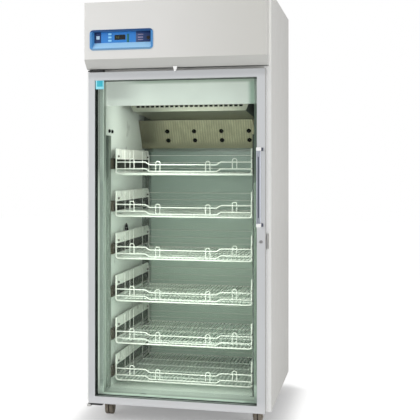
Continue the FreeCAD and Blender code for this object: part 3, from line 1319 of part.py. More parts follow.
def main():
    os.makedirs("parts", exist_ok=True)
    nodes = {
        "outer_case": outer_case(),
        "back_panel": back_panel(),
        "bottom_pan": bottom_pan(),
        "machine_deck": machine_deck(),
        "top_cover": top_cover(),
        "foam": foam(),
        "inner_liner": inner_liner(),
        "breaker_frame": breaker_frame(),
        "header_shell": header_shell(),
        "control_bezel": control_bezel(),
        "control_panel": control_panel(),
        "display_window": display_window(),
        "control_board": control_board(),
        "key_switch": key_switch(),
        "door_frame": door_frame(),
        "glass_panes": glass_panes(),
        "glass_spacer": glass_spacer(),
        "glazing_bead": glazing_bead(),
        "door_gasket": door_gasket(),
        "handle_bar": handle_bar(),
        "handle_posts": handle_posts(),
        "door_magnet": door_magnet(),
        "door_lock": door_lock(),
        "lock_strike": lock_strike(),
        "hinge_brackets": hinge_brackets(),
        "slide_rails": slide_rails(),
        "uprights": uprights(),
        "light_fascia": light_fascia(),
        "lamp": lamp(),
        "evaporator_housing": evaporator_housing(),
        "evaporator_coil": evaporator_coil(),
        "fan_bulkhead": fan_bulkhead(),
        "evaporator_fan": evaporator_fan(),
        "perforated_panel": perforated_panel(),
        "rear_duct": rear_duct(),
        "port_plug": port_plug(),
        "compressor": compressor(),
        "condenser": condenser(),
        "condenser_shroud": condenser_shroud(),
        "condenser_fan": condenser_fan(),
        "caster_plates": caster_plates(),
    }
    for i in range(3):
        nodes["button_%d" % (i + 1)] = button(i)
    basket = drawer()
    for i, z in enumerate(DRAWER_FLOORS):
        placed = basket.copy()
        placed.translate(V(0, 0, z))
        nodes["drawer_%d" % (i + 1)] = placed
    wheels = wheel()
    for i, corner in enumerate(("front_left", "front_right", "rear_left", "rear_right")):
        nodes["fork_" + corner] = caster_part(fork(corner.startswith("front")), i)
        nodes["wheel_" + corner] = caster_part(wheels, i)
    for i, corner in enumerate(("front_left", "front_right")):
        nodes["brake_" + corner] = caster_part(brake_lever(), i)
    for name, shape in nodes.items():
        shape.translate(V(0, -CENTRE_Y, FLOOR_GAP))
        shape.exportStep("parts/%s.step" % name)


main()
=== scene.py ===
"""Looks of the laboratory refrigerator: finishes, wire drawers, panel print, fittings, studio.

Lengths are millimetres in the cabinet's own directions: x across, y rearward from the header
front, z upward from the underside of the case. place() turns them into the frame's metres.
"""
import bpy
import bmesh
import json
import math
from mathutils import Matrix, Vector


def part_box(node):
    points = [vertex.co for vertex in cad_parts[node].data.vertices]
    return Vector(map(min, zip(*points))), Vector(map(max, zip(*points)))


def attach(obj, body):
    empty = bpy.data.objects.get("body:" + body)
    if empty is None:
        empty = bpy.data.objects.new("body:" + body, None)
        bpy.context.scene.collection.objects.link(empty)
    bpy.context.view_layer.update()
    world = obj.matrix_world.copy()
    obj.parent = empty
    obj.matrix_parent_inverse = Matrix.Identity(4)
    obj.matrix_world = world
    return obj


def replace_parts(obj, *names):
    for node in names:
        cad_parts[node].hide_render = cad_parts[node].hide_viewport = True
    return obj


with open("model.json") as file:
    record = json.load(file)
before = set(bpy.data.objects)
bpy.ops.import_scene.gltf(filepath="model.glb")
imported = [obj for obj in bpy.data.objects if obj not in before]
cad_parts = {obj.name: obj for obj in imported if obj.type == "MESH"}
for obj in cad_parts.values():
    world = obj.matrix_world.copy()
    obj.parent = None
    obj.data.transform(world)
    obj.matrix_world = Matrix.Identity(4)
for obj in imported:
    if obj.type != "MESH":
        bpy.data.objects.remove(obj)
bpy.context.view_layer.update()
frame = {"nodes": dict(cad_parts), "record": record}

MM = 0.001
CENTRE_Y = 473.0             # from the header front to the frame's origin
FLOOR_GAP = 90.0             # underside of the case above the floor
SMOOTH_ANGLE = 38            # degrees; edges that turn more than this stay sharp
SHARP_ANGLE = 30             # degrees; edges that turn more than this are bevelled
THIN_EDGE = 0.1              # bevel of a print
DISC_SHAPE = ((1.0, 0.0, 0.0), (1.0, 0.6, 0.0), (0.92, 0.9, 0.0), (0.6, 1.0, 0.7),
              (0.0, 1.0, 1.0))  # shares of radius, height and dome

# Camera, fitted to the straight edges of the cabinet
FRAME_PIXELS = 420
SENSOR = 36.0
FOCAL_PIXELS = 951.3
PRINCIPAL_X = 130.0
PRINCIPAL_Y = 165.6
CAMERA_PLACE = (890.1, -4222.7, 1109.7)
CAMERA_YAW = 14.513          # degrees
CLIP_END = 60.0              # metres

# Drawers, from the space that each one has in the frame; a wire's size is its radius
DRAWER_COUNT = 6
FRAME_WIRE = 4.0             # bent frame at the front and rear
EDGE_WIRE = 3.2              # lower side edges
EDGE_RISE = 5.6              # of those above the frame's own wire
FRAME_INSET = 1.0            # centre of the frame wire inside the drawer's side
RAIL_WIRE = 3.0
HOOP_WIRE = 2.3
REAR_WIRE = 1.4
SIDE_WIRE = 1.7
FLOOR_WIRE = 2.7
FLOOR_WIRES = 33
CROSS_WIRE = 3.1
CROSS_WIRES = 4
CROSS_DROP = 7.02            # of the cross wires under the floor wires
HEAVY_SIDES = 10
WIRE_SIDES = 8
FLOOR_SIDES = 6
BEND = 14.0                  # inside bend of the frame wire
BEND_STEPS = 5
RAIL_BEND = 16.0
SIDE_HEIGHT = 124.0
FRONT_HEIGHT = 60.0
FRONT_DIP = 13.0
DIP_START = 182.0
DIP_END = 162.0
LOWER_RAIL = 28.0
HOOP_CENTRES = (-248.0, -121.0, 121.0, 248.0)
HOOP_WIDTH = 21.0
HOOP_RISE = 16.0
HOOP_BEND = 11.025
HOOP_AHEAD = 2.0             # of the frame wire
SIDE_WIRES = (166.0, 264.0, 338.0, 533.0)
SIDE_WIRE_DROP = 6.0         # of their heads under the plate's top edge
PLATE_SHEET = 1.2
PLATE_HEIGHT = 50.0
PLATE_END = 2.0              # plate short of the drawer's end
PLATE_CORNER = 26.0          # upper rear corner
PLATE_FRONT_CORNER = 6.0     # upper front corner
PLATE_FOOT_CORNER = 4.0
CORNER_STEPS = 6
SCREW_RADIUS = 5.5
SCREW_INSET = 42.0
SCREW_DROP = 36.0
SCREW_HEIGHT = 6.0
SCREW_DOME = 2.0
SLIDE_LOW = 32.0
SLIDE_HIGH = 74.0
SLIDE_INSET = 10.0
SLIDE_REACH = 11.0           # moving member outside the side plate
SLIDE_GAP = 0.2
SLIDE_SHEET = 1.5
SLIDE_LIP = 3.0

# Spans of tone, as an axis with the places where a tone starts and where it is reached. All but the
# dark line down the door's right edge are painted light and shade.
COVER_RIGHT = ("X", 312.0, 338.0)
COVER_LEFT = ("X", -170.0, -290.0)
COVER_HEAD = ("Z", 1489.0, 1506.0)
COVER_FOOT = ("Z", 1412.0, 1440.0)
PANEL_LEFT = ("X", -170.0, -330.0)
PANEL_FOOT = ("Z", 1246.0, 1214.0)
TRAY_END = (("X", 276.0, 279.0), ("Y", 374.0, 380.0))
DUCT_RISE = ("Z", 500.0, 1150.0)
RIGHT_SIDE = ("X", 300.0, 338.0)
STRIP_HEAD = ("Z", 1000.0, 1140.0)
STRIP_FOOT = ("Z", 100.0, 50.0)
RIGHT_STRIP_FOOT = ("Z", 125.0, 104.0)
RIGHT_STRIP_HEAD = ("Z", 1384.0, 1398.0)
ROOM_FLOOR = ("Z", 80.0, 60.0)
ROOM_SILL = ("Y", 206.0, 192.0)
UNDER_DRAWERS = ("Y", 240.0, 340.0)
FRONT_RETURN = ("Y", 134.0, 126.0)
REAR_WALL = ("Y", 900.0, 914.0)
REAR_CORNER = ("X", -300.0, -318.0)
HEADER_RIGHT = ("X", -150.0, 430.0)
HEADER_CHAMFER = (("Z", 1612.0, 1602.0), ("Y", 0.5, 2.0))
DOOR_HEAD = ("Z", 1505.0, 1530.0)
DOOR_FOOT = ("Z", 60.0, 10.0)
DOOR_EDGE_LINE = (("X", 409.5, 411.5), ("Y", 42.0, 39.0))
CASE_INSIDE = ("X", 404.0, 398.0)
CASE_LEFT = ("X", -373.0, -376.0)
CASE_REAR = ("Y", 86.0, 88.0)
BEZEL_HEAD = ("Z", 1724.0, 1730.0)
BEZEL_FOOT = ("Z", 1652.0, 1647.0)
RAILS_BELOW = ("Z", 620.0, 180.0)
WIRE_RISE = ("Z", 900.0, 1180.0)
PLATE_RISE = ("Z", 640.0, 1060.0)
FLOOR_RISE = ("Z", 180.0, 460.0)

# Finishes
NOISE_SPAN = (0.3, 0.7)      # where nearly all of the noise lies
UPRIGHT_STREAK = (1, 1, 0.02)
LONG_STREAK = (1, 1, 0.01)
FINE_STREAK = (12, 12, 0.12)
STREAK_PITCH = 13.0
STREAK_DARK = 0.5            # of the plain colour, where a streak is full
STREAK_SHARE = 0.5           # how full a streak gets
FACING_DOWN = (-0.8, -0.95)  # upward part of a face's normal
FACING_LEDGE = (0.25, 0.35)
DULL = 0.12
GLASS_IOR = 1.35
GLASS_ROUGH = 0.03
PLAIN_GREY = (0.8, 0.8, 0.8)  # glass where a view shows no shader
CASE_TONE = (214, 213, 209)  # as a screen shows it
# Nodes whose finish isn't the one of their slot; most of these finishes add painted light and shade
OWN_FINISH = {"glazing_bead": "bead_dark", "perforated_panel": "panel_steel",
              "uprights": "upright_grey", "outer_case": "case_flange",
              "slide_rails": "rail_brown", "header_shell": "header_white",
              "key_switch": "key_dark"}

# Air side of the room
LIP_Y = 368.0
LIP_SLOT_PITCH = 24.4
LIP_SLOTS = 22
LIP_SLOT_WIDTH = 17.0
LIP_SLOT_Z = (1396.8, 1407.0)
LIP_SLOT_DEPTH = (0.5, 0.1)  # ahead of the lip
AIR_HEAD = (750.0, 1352.0)   # y and z of the air panel's raised face at its head
AIR_FOOT = (837.0, 1203.0)
AIR_ROWS = (68.0, 123.0)
AIR_HOLES = 4
AIR_PITCH = 146.5
AIR_SHIFT = 21.0
# Cup of painted shade behind a hole, as radius and height
AIR_CUP = ((12.5, 0.0), (12.5, 0.9), (9.7, 0.9), (9.7, -14.0), (0.0, -14.0))

# Left wall: stoppers above the front upright and the boot of the sensor bulb
WALL_X = -355.0
STOPPERS = ((182.0, 1276.0), (233.0, 1275.0))
STOPPER_RADIUS = 8.5
STOPPER_HEIGHT = 7.0
STOPPER_DOME = 2.0
PROBE_INSET = 6.0            # middle of the boot behind the plug's face
PROBE_TIP = 816.0
PROBE_SHAPE = ((0.0, 0.0), (3.0, 2.0), (6.0, 12.0), (9.0, 22.0), (11.5, 32.0), (11.0, 40.0),
               (6.0, 45.0), (0.0, 46.0))

# Casters
CASTER_PLACES = ("front_left", "front_right", "rear_left", "rear_right")
TREAD_EDGE = 2.5
TREAD_GROOVE = 4.5
GROOVE_FLOOR = 5.5           # under the tread
HUB_SHARE = 0.62             # of the wheel's radius
BORE_SHARE = 0.25
WHEEL_SIDES = 48

# Control panel and the square on the glass
PANEL_Y = 20.0
# Depths of a print on the membrane and of one on top of it
PRINT_LAYERS = ((PANEL_Y - 0.35, PANEL_Y), (PANEL_Y - 0.6, PANEL_Y - 0.35))
PRINT_LEFT_END = -347.0
PRINT_RIGHT_START = -180.0
SQUARE_X, SQUARE_Z = (-370.0, -354.0), (1695.0, 1711.0)
BAR_X, BAR_Z = (-223.0, -213.0), (1679.0, 1717.0)
MARK_X = (-170.0, -146.0)
# Middle of each mark in z, and half its thickness
MARKS = ((1713.0, 1.5), (1700.0, 2.5), (1689.0, 1.5))
FIGURES = "4.0"
FIGURE_PLACE = (-275.0, 1697.5)
FIGURE_HEIGHT = 10.0
FIGURE_Y = PANEL_Y - 0.8
FIGURE_RELIEF = 0.2
FIGURE_WIDTH = 0.5           # of the height
FIGURE_BAR = 0.11            # of the height
FIGURE_STEP = 1.5            # of the width
POINT_SIZE = 1.3             # of a bar
POINT_STEP = 0.45            # of the width
# Square on the glass: x, z, and how far its face and back stand ahead of the pane
LABEL = (("label_rim", (-379.0, -339.0), (1466.0, 1508.0), 0.3, 0.0),
         ("label_tone", (-373.0, -345.0), (1478.0, 1506.0), 0.5, 0.3))

# Small fittings
LUG_HEAD = 6.0
LUG_SLANT = 6.0
LUG_EDGE = 0.8
GROOVE_HALF = 2.6
GROOVE_DEPTH = (0.4, 0.6)    # ahead of the bar's face and into it
GROOVE_END = 26.0
GROOVE_EDGE = 0.2
# Light cap on the outer end of the lower hinge leaf
HINGE_CAP = ((-419.0, -402.0), (30.0, 60.0), (-15.0, -4.0))
HINGE_CAP_EDGE = 1.0
# Posts at the ends of the grip bar, each a cap over the bar, a foot and a dark washer that paints
# the shade at its foot
CAP_PAST = 0.5               # cap wider than the bar
CAP_OVER = 1.0               # of the bar's end inside the cap
CAP_DEPTH = 19.0
FOOT_IN_CAP = 2.0
FOOT_INSET = (4.0, 2.0)      # left and right of the foot inside the bar's width
FOOT_END = 2.0
WASHER_SHEET = 3.0
WASHER_SIDES = (3.0, 6.0)    # inside the bar's left side and past its right
WASHER_END = 1.0
POST_EDGES = (3.0, 2.0, 0.8)

# Studio, in metres
WORLD_LIGHT = 0.53
WHITE = (1.0, 1.0, 1.0)
ROOM_TINT = (1.0, 1.0, 0.98)
FLOOR_HALF = 16.0
FLOOR_TONE = (0.72, 0.72, 0.72)
# The floor's glow rises from the footprint outwards: within FLOOR_FADE of it the floor is darker, a
# painted shadow
FOOTPRINT = (("X", 0.43, 0.0), ("Y", 0.45, 0.03))  # half length and middle
FLOOR_FADE = 0.14
FLOOR_LIFT = (0.255, 0.62)
# Lamps: name, place, target, size and watts
STUDIO_LAMPS = (("key", (-2.5, -2.5, 2.0), (-0.3, -0.2, 1.4), (1.8, 2.2), 50),
                ("fill", (3.6, -2.2, 1.0), (0, 0.2, 0.9), (2.4, 2.0), 62),
                ("sky", (0, -0.6, 4.6), (0, 0, 0), (3.0, 3.0), 14))
# Lamps inside the room: the same, but place and target in cabinet millimetres
ROOM_LAMPS = (("room_low", (0, 37, 560), (0, 900, 560), (0.70, 0.98), 6.2),
              ("room_high", (30, 172, 1262), (-60, 600, 1270), (0.38, 0.18), 1.75))


def place(x, y, z):
    """Cabinet millimetres to the frame's metres."""
    return Vector((x * MM, (y - CENTRE_Y) * MM, (z + FLOOR_GAP) * MM))


def ranges_of(name):
    """Cabinet ranges x, y and z of a node of the frame."""
    low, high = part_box(name)
    return ((low.x / MM, high.x / MM), (low.y / MM + CENTRE_Y, high.y / MM + CENTRE_Y),
            (low.z / MM - FLOOR_GAP, high.z / MM - FLOOR_GAP))


def srgb(red, green, blue):
    """Colour as a screen shows it, 0 to 255, to the linear values that a shader takes."""
    return tuple((c / 255) / 12.92 if c <= 10 else ((c / 255 + 0.055) / 1.055) ** 2.4
                 for c in (red, green, blue))


def times(colour, share):
    """Colour made darker or lighter, up to white."""
    return tuple(min(1.0, c * share) for c in colour)


# Finishes
class Finish:
    """A node material with one Principled shader, built up step by step."""

    def __init__(self, name, colour, rough, metallic=0.0):
        self.name = name
        self.colour = colour
        self.base = None             # socket of the base colour
        self.mat = bpy.data.materials.new(name)
        self.mat.use_nodes = True
        self.mat.diffuse_color = (*colour, 1)
        self.tree = self.mat.node_tree
        self.shader = self.tree.nodes["Principled BSDF"]
        self.put("Base Color", (*colour, 1))
        self.put("Roughness", rough)
        self.put("Metallic", metallic)

    def put(self, name, value):
        """Sets one input of the shader."""
        self.shader.inputs[name].default_value = value
        return self

    def node(self, kind, inputs=None, **values):
        """New shader node with its settings and the values of its inputs."""
        made = self.tree.nodes.new("ShaderNode" + kind)
        for name, value in values.items():
            setattr(made, name, value)
        for name, value in (inputs or {}).items():
            made.inputs[name].default_value = value
        return made

    def link(self, out, into):
        """Joins an output socket to an input socket."""
        self.tree.links.new(out, into)

    def coords(self):
        """Coordinates in the object's own space, which are the frame's metres."""
        return self.node("TexCoord").outputs["Object"]

    def part(self, vector, axis):
        """One part of a vector socket."""
        split = self.node("SeparateXYZ")
        self.link(vector, split.inputs["Vector"])
        return split.outputs[axis]

    def upward(self):
        """How far a face looks up, from -1 to 1."""
        return self.part(self.node("NewGeometry").outputs["Normal"], "Z")

    def maths(self, operation, *values):
        """Math node on sockets and plain numbers."""
        made = self.node("Math", operation=operation)
        for socket, value in zip(made.inputs, values):
            if isinstance(value, float):
                socket.default_value = value
            else:
                self.link(value, socket)
        return made.outputs["Value"]

    def ranged(self, value, given, wanted=(0.0, 1.0), **settings):
        """Value passed from one range to another."""
        made = self.node("MapRange", {"From Min": given[0], "From Max": given[1],
                                      "To Min": wanted[0], "To Max": wanted[1]}, **settings)
        self.link(value, made.inputs["Value"])
        return made.outputs["Result"]

    def step(self, axis, start, end):
        """Smooth step from 0 to 1 between two places along a cabinet axis."""
        shift = {"X": 0.0, "Y": -CENTRE_Y, "Z": FLOOR_GAP}[axis]
        given = ((min(start, end) + shift) * MM, (max(start, end) + shift) * MM)
        wanted = (0.0, 1.0) if start < end else (1.0, 0.0)
        return self.ranged(self.part(self.coords(), axis), given, wanted,
                           interpolation_type="SMOOTHSTEP")

    def noise(self, scale, stretch=(1, 1, 1), detail=3.0, rough=0.5, low=0.0, high=1.0):
        """Noise through the object's own space, spread between low and high."""
        mapping = self.node("Mapping", {"Scale": stretch})
        tex = self.node("TexNoise", {"Scale": scale, "Detail": detail, "Roughness": rough})
        self.link(self.coords(), mapping.inputs["Vector"])
        self.link(mapping.outputs["Vector"], tex.inputs["Vector"])
        return self.ranged(tex.outputs["Fac"], NOISE_SPAN, (low, high))

    def mix(self, fac, first, second):
        """Mix of two colours, given as a tuple or as a socket."""
        mixer = self.node("Mix", data_type="RGBA")
        self.link(fac, mixer.inputs["Factor"])
        for value, socket in ((first, mixer.inputs[6]), (second, mixer.inputs[7])):
            if isinstance(value, tuple):
                socket.default_value = (*value, 1)
            else:
                self.link(value, socket)
        return mixer.outputs[2]

    def set_base(self, socket):
        """Takes a socket as the base colour."""
        self.base = socket
        self.link(socket, self.shader.inputs["Base Color"])
        return self

    def vary(self, amount, scale, stretch=(1, 1, 1), detail=3.0):
        """Base colour drifts by amount, darker and lighter, in patches."""
        low, high = times(self.colour, 1 - amount), times(self.colour, 1 + amount)
        return self.set_base(self.mix(self.noise(scale, stretch, detail), low, high))

    def smudge(self, low, high, scale, stretch=(1, 1, 1)):
        """Roughness drifts between two values."""
        self.link(self.noise(scale, stretch, 4.0, 0.6, low, high), self.shader.inputs["Roughness"])
        return self

    def bump(self, depth, scale, stretch=(1, 1, 1)):
        """Relief of a depth in millimetres."""
        bump = self.node("Bump", {"Strength": 1.0, "Distance": depth * MM})
        self.link(self.noise(scale, stretch, 2.0), bump.inputs["Height"])
        self.link(bump.outputs["Normal"], self.shader.inputs["Normal"])
        return self

    def paint_light_and_shade(self, tone, *spans):
        """Painted light and shade: passes to another tone across a span, or only where several
        spans meet.
        """
        share = self.step(*spans[0])
        for span in spans[1:]:
            share = self.maths("MULTIPLY", share, self.step(*span))
        return self.set_base(self.mix(share, self.base, tone))

    def paint_light_facing_down(self, tone):
        """Painted light and shade: gives the faces that look straight down their own tone."""
        return self.set_base(self.mix(self.ranged(self.upward(), FACING_DOWN), self.base, tone))

    def paint_light_facing_level(self, tone):
        """Painted light and shade: gives the faces that look up or down their own tone."""
        return self.set_base(self.mix(self.maths("ABSOLUTE", self.upward()), self.base, tone))

    def matt(self):
        """Takes the shine off."""
        return self.put("Specular IOR Level", DULL)


def paint(name, colour, rough=0.38):
    """Powder coat: slight orange peel, faint uneven gloss."""
    made = Finish(name, colour, rough).vary(amount=0.018, scale=2.2)
    made.smudge(rough - 0.06, rough + 0.08, scale=9.0)
    return made.bump(depth=0.05, scale=420.0)


def moulded(name, colour, rough=0.4):
    """Moulded plastic with a fine texture."""
    made = Finish(name, colour, rough).vary(amount=0.03, scale=14.0)
    made.smudge(rough - 0.05, rough + 0.08, scale=30.0)
    return made.bump(depth=0.03, scale=900.0)


def brushed(name, colour, rough, stretch):
    """Metal with long fine scratches."""
    made = Finish(name, colour, rough, 1.0)
    made.vary(amount=0.10, scale=60.0, stretch=stretch, detail=6.0)
    made.smudge(rough - 0.08, rough + 0.12, scale=90.0, stretch=stretch)
    return made.bump(depth=0.02, scale=300.0, stretch=stretch)


def plated(name, colour, rough=0.4):
    """Zinc plate or galvanised sheet with a soft spangle."""
    made = Finish(name, colour, rough, 0.85)
    cells = made.node("TexVoronoi", {"Scale": 90.0})
    made.link(made.coords(), cells.inputs["Vector"])
    made.set_base(made.mix(cells.outputs["Distance"], times(colour, 1.10), times(colour, 0.86)))
    return made.smudge(rough - 0.08, rough + 0.15, scale=40.0)


def rubber(name, colour):
    """Dull, slightly uneven rubber."""
    made = Finish(name, colour, 0.75).vary(amount=0.12, scale=40.0)
    return made.smudge(0.62, 0.85, scale=60.0).bump(depth=0.05, scale=700.0)


def polished(name, colour, rough=0.12):
    """Smooth bright metal."""
    made = Finish(name, colour, rough, 1.0).vary(amount=0.04, scale=30.0)
    return made.smudge(rough * 0.6, rough * 1.8, scale=120.0)


def foamed(name, colour):
    """Coarse cut foam."""
    return Finish(name, colour, 0.9).vary(amount=0.10, scale=30.0).bump(depth=0.6, scale=260.0)


def glowing(name, colour, strength):
    """Moulded plastic lit from inside."""
    made = moulded(name, colour, 0.3).put("Emission Color", (*colour, 1))
    return made.put("Emission Strength", strength)


def see_through(name, tint, gloss):
    """Clear glass: a tinted transparent sheet that mirrors a little, more at a slant."""
    made = Finish(name, PLAIN_GREY, GLASS_ROUGH)
    made.tree.nodes.remove(made.shader)
    clear = made.node("BsdfTransparent", {"Color": (*tint, 1)})
    shine = made.node("BsdfGlossy", {"Roughness": GLASS_ROUGH})
    slant = made.node("Fresnel", {"IOR": GLASS_IOR})
    join = made.node("MixShader")
    made.link(made.maths("MULTIPLY", slant.outputs["Fac"], gloss), join.inputs["Fac"])
    made.link(clear.outputs["BSDF"], join.inputs[1])
    made.link(shine.outputs["BSDF"], join.inputs[2])
    made.link(join.outputs["Shader"], made.tree.nodes["Material Output"].inputs["Surface"])
    return made


def bezel_plastic(name, wall, ledge):
    """Blue moulding with painted shade along its head, and painted light at its foot and on its
    upward ledge.
    """
    made = moulded(name, wall, 0.35)
    made.paint_light_and_shade(srgb(10, 66, 122), BEZEL_HEAD).paint_light_and_shade(srgb(112, 152, 184), BEZEL_FOOT)
    return made.set_base(made.mix(made.ranged(made.upward(), FACING_LEDGE), made.base, ledge))


def light_cover(name, colour, shade, strength):
    """Lit cover with painted shade at its right end, along its head and low on its left; its glow
    takes the same painted tones.
    """
    made = moulded(name, colour, 0.3).paint_light_and_shade(shade, COVER_RIGHT)
    made.paint_light_and_shade((0.34, 0.38, 0.34), COVER_HEAD).paint_light_and_shade(times(colour, 0.80), COVER_LEFT, COVER_FOOT)
    made.link(made.base, made.shader.inputs["Emission Color"])
    return made.put("Emission Strength", strength)


def streaked(name, colour, rough):
    """Dull steel sheet with upright streaks, and painted shade towards its left end and along its
    foot.
    """
    made = Finish(name, colour, rough, 0.6)
    made.vary(amount=0.14, scale=40.0, stretch=LONG_STREAK, detail=2.0)
    bands = made.node("TexWave", {"Scale": 2 * math.pi / (20.0 * STREAK_PITCH * MM),
                                  "Distortion": 1.2, "Detail": 1.0},
                      wave_type="BANDS", bands_direction="X")
    made.link(made.coords(), bands.inputs["Vector"])
    share = made.maths("MULTIPLY", bands.outputs["Fac"], STREAK_SHARE)
    made.set_base(made.mix(share, made.base, times(colour, STREAK_DARK)))
    made.paint_light_and_shade(times(colour, 0.42), PANEL_LEFT).paint_light_and_shade(times(colour, 0.68), PANEL_FOOT)
    return made.smudge(rough - 0.08, rough + 0.1, scale=60.0, stretch=UPRIGHT_STREAK)


def frame_strip(name):
    """Plastic strip round the opening, with painted light at its head and foot, painted shade down
    its right side, and painted light again at the head and foot of that side.
    """
    made = moulded(name, (0.30, 0.325, 0.31))
    made.paint_light_and_shade((0.93, 0.98, 0.94), STRIP_HEAD).paint_light_and_shade((0.72, 0.78, 0.74), STRIP_FOOT)
    made.paint_light_and_shade((0.20, 0.24, 0.205), RIGHT_SIDE)
    made.paint_light_and_shade((0.50, 0.56, 0.52), RIGHT_STRIP_FOOT, RIGHT_SIDE)
    return made.paint_light_and_shade((0.62, 0.68, 0.64), RIGHT_STRIP_HEAD, RIGHT_SIDE)


def room_paint(name):
    """White of the room with painted shade: on the floor's front strip and under the drawers, on
    the front returns, on the rear wall, and deepest at the rear wall's left corner.
    """
    made = paint(name, (0.72, 0.745, 0.72), 0.32)
    made.paint_light_and_shade((0.50, 0.53, 0.51), ROOM_FLOOR, ROOM_SILL)
    made.paint_light_and_shade((0.43, 0.485, 0.44), ROOM_FLOOR, UNDER_DRAWERS)
    made.paint_light_and_shade((0.31, 0.34, 0.315), FRONT_RETURN)
    made.paint_light_and_shade((0.26, 0.31, 0.27), REAR_WALL)
    return made.paint_light_and_shade((0.12, 0.145, 0.12), REAR_WALL, REAR_CORNER)


def header_paint(name):
    """Case paint of the header with painted shade: a little darker to the right and on its chamfer,
    and near black on the faces that look down.
    """
    made = paint(name, srgb(222, 221, 218)).paint_light_and_shade(srgb(207, 206, 201), HEADER_RIGHT)
    return made.paint_light_and_shade(srgb(201, 201, 197), *HEADER_CHAMFER).paint_light_facing_down((0.06, 0.066, 0.06))


def flange_paint(name):
    """Case paint with painted light on its front flanges at both sides."""
    bright = (0.98, 0.98, 0.96)
    made = paint(name, bright).paint_light_and_shade(srgb(*CASE_TONE), CASE_INSIDE)
    return made.paint_light_and_shade(bright, CASE_LEFT).paint_light_and_shade(srgb(*CASE_TONE), CASE_REAR)


def door_paint(name):
    """Door paint with painted shade along its head and painted light at its foot, and a dark line
    down the right edge of its front skin.
    """
    made = paint(name, srgb(202, 204, 206)).paint_light_and_shade(srgb(186, 188, 190), DOOR_HEAD)
    return made.paint_light_and_shade(srgb(214, 215, 217), DOOR_FOOT).paint_light_and_shade(srgb(150, 148, 142), *DOOR_EDGE_LINE)


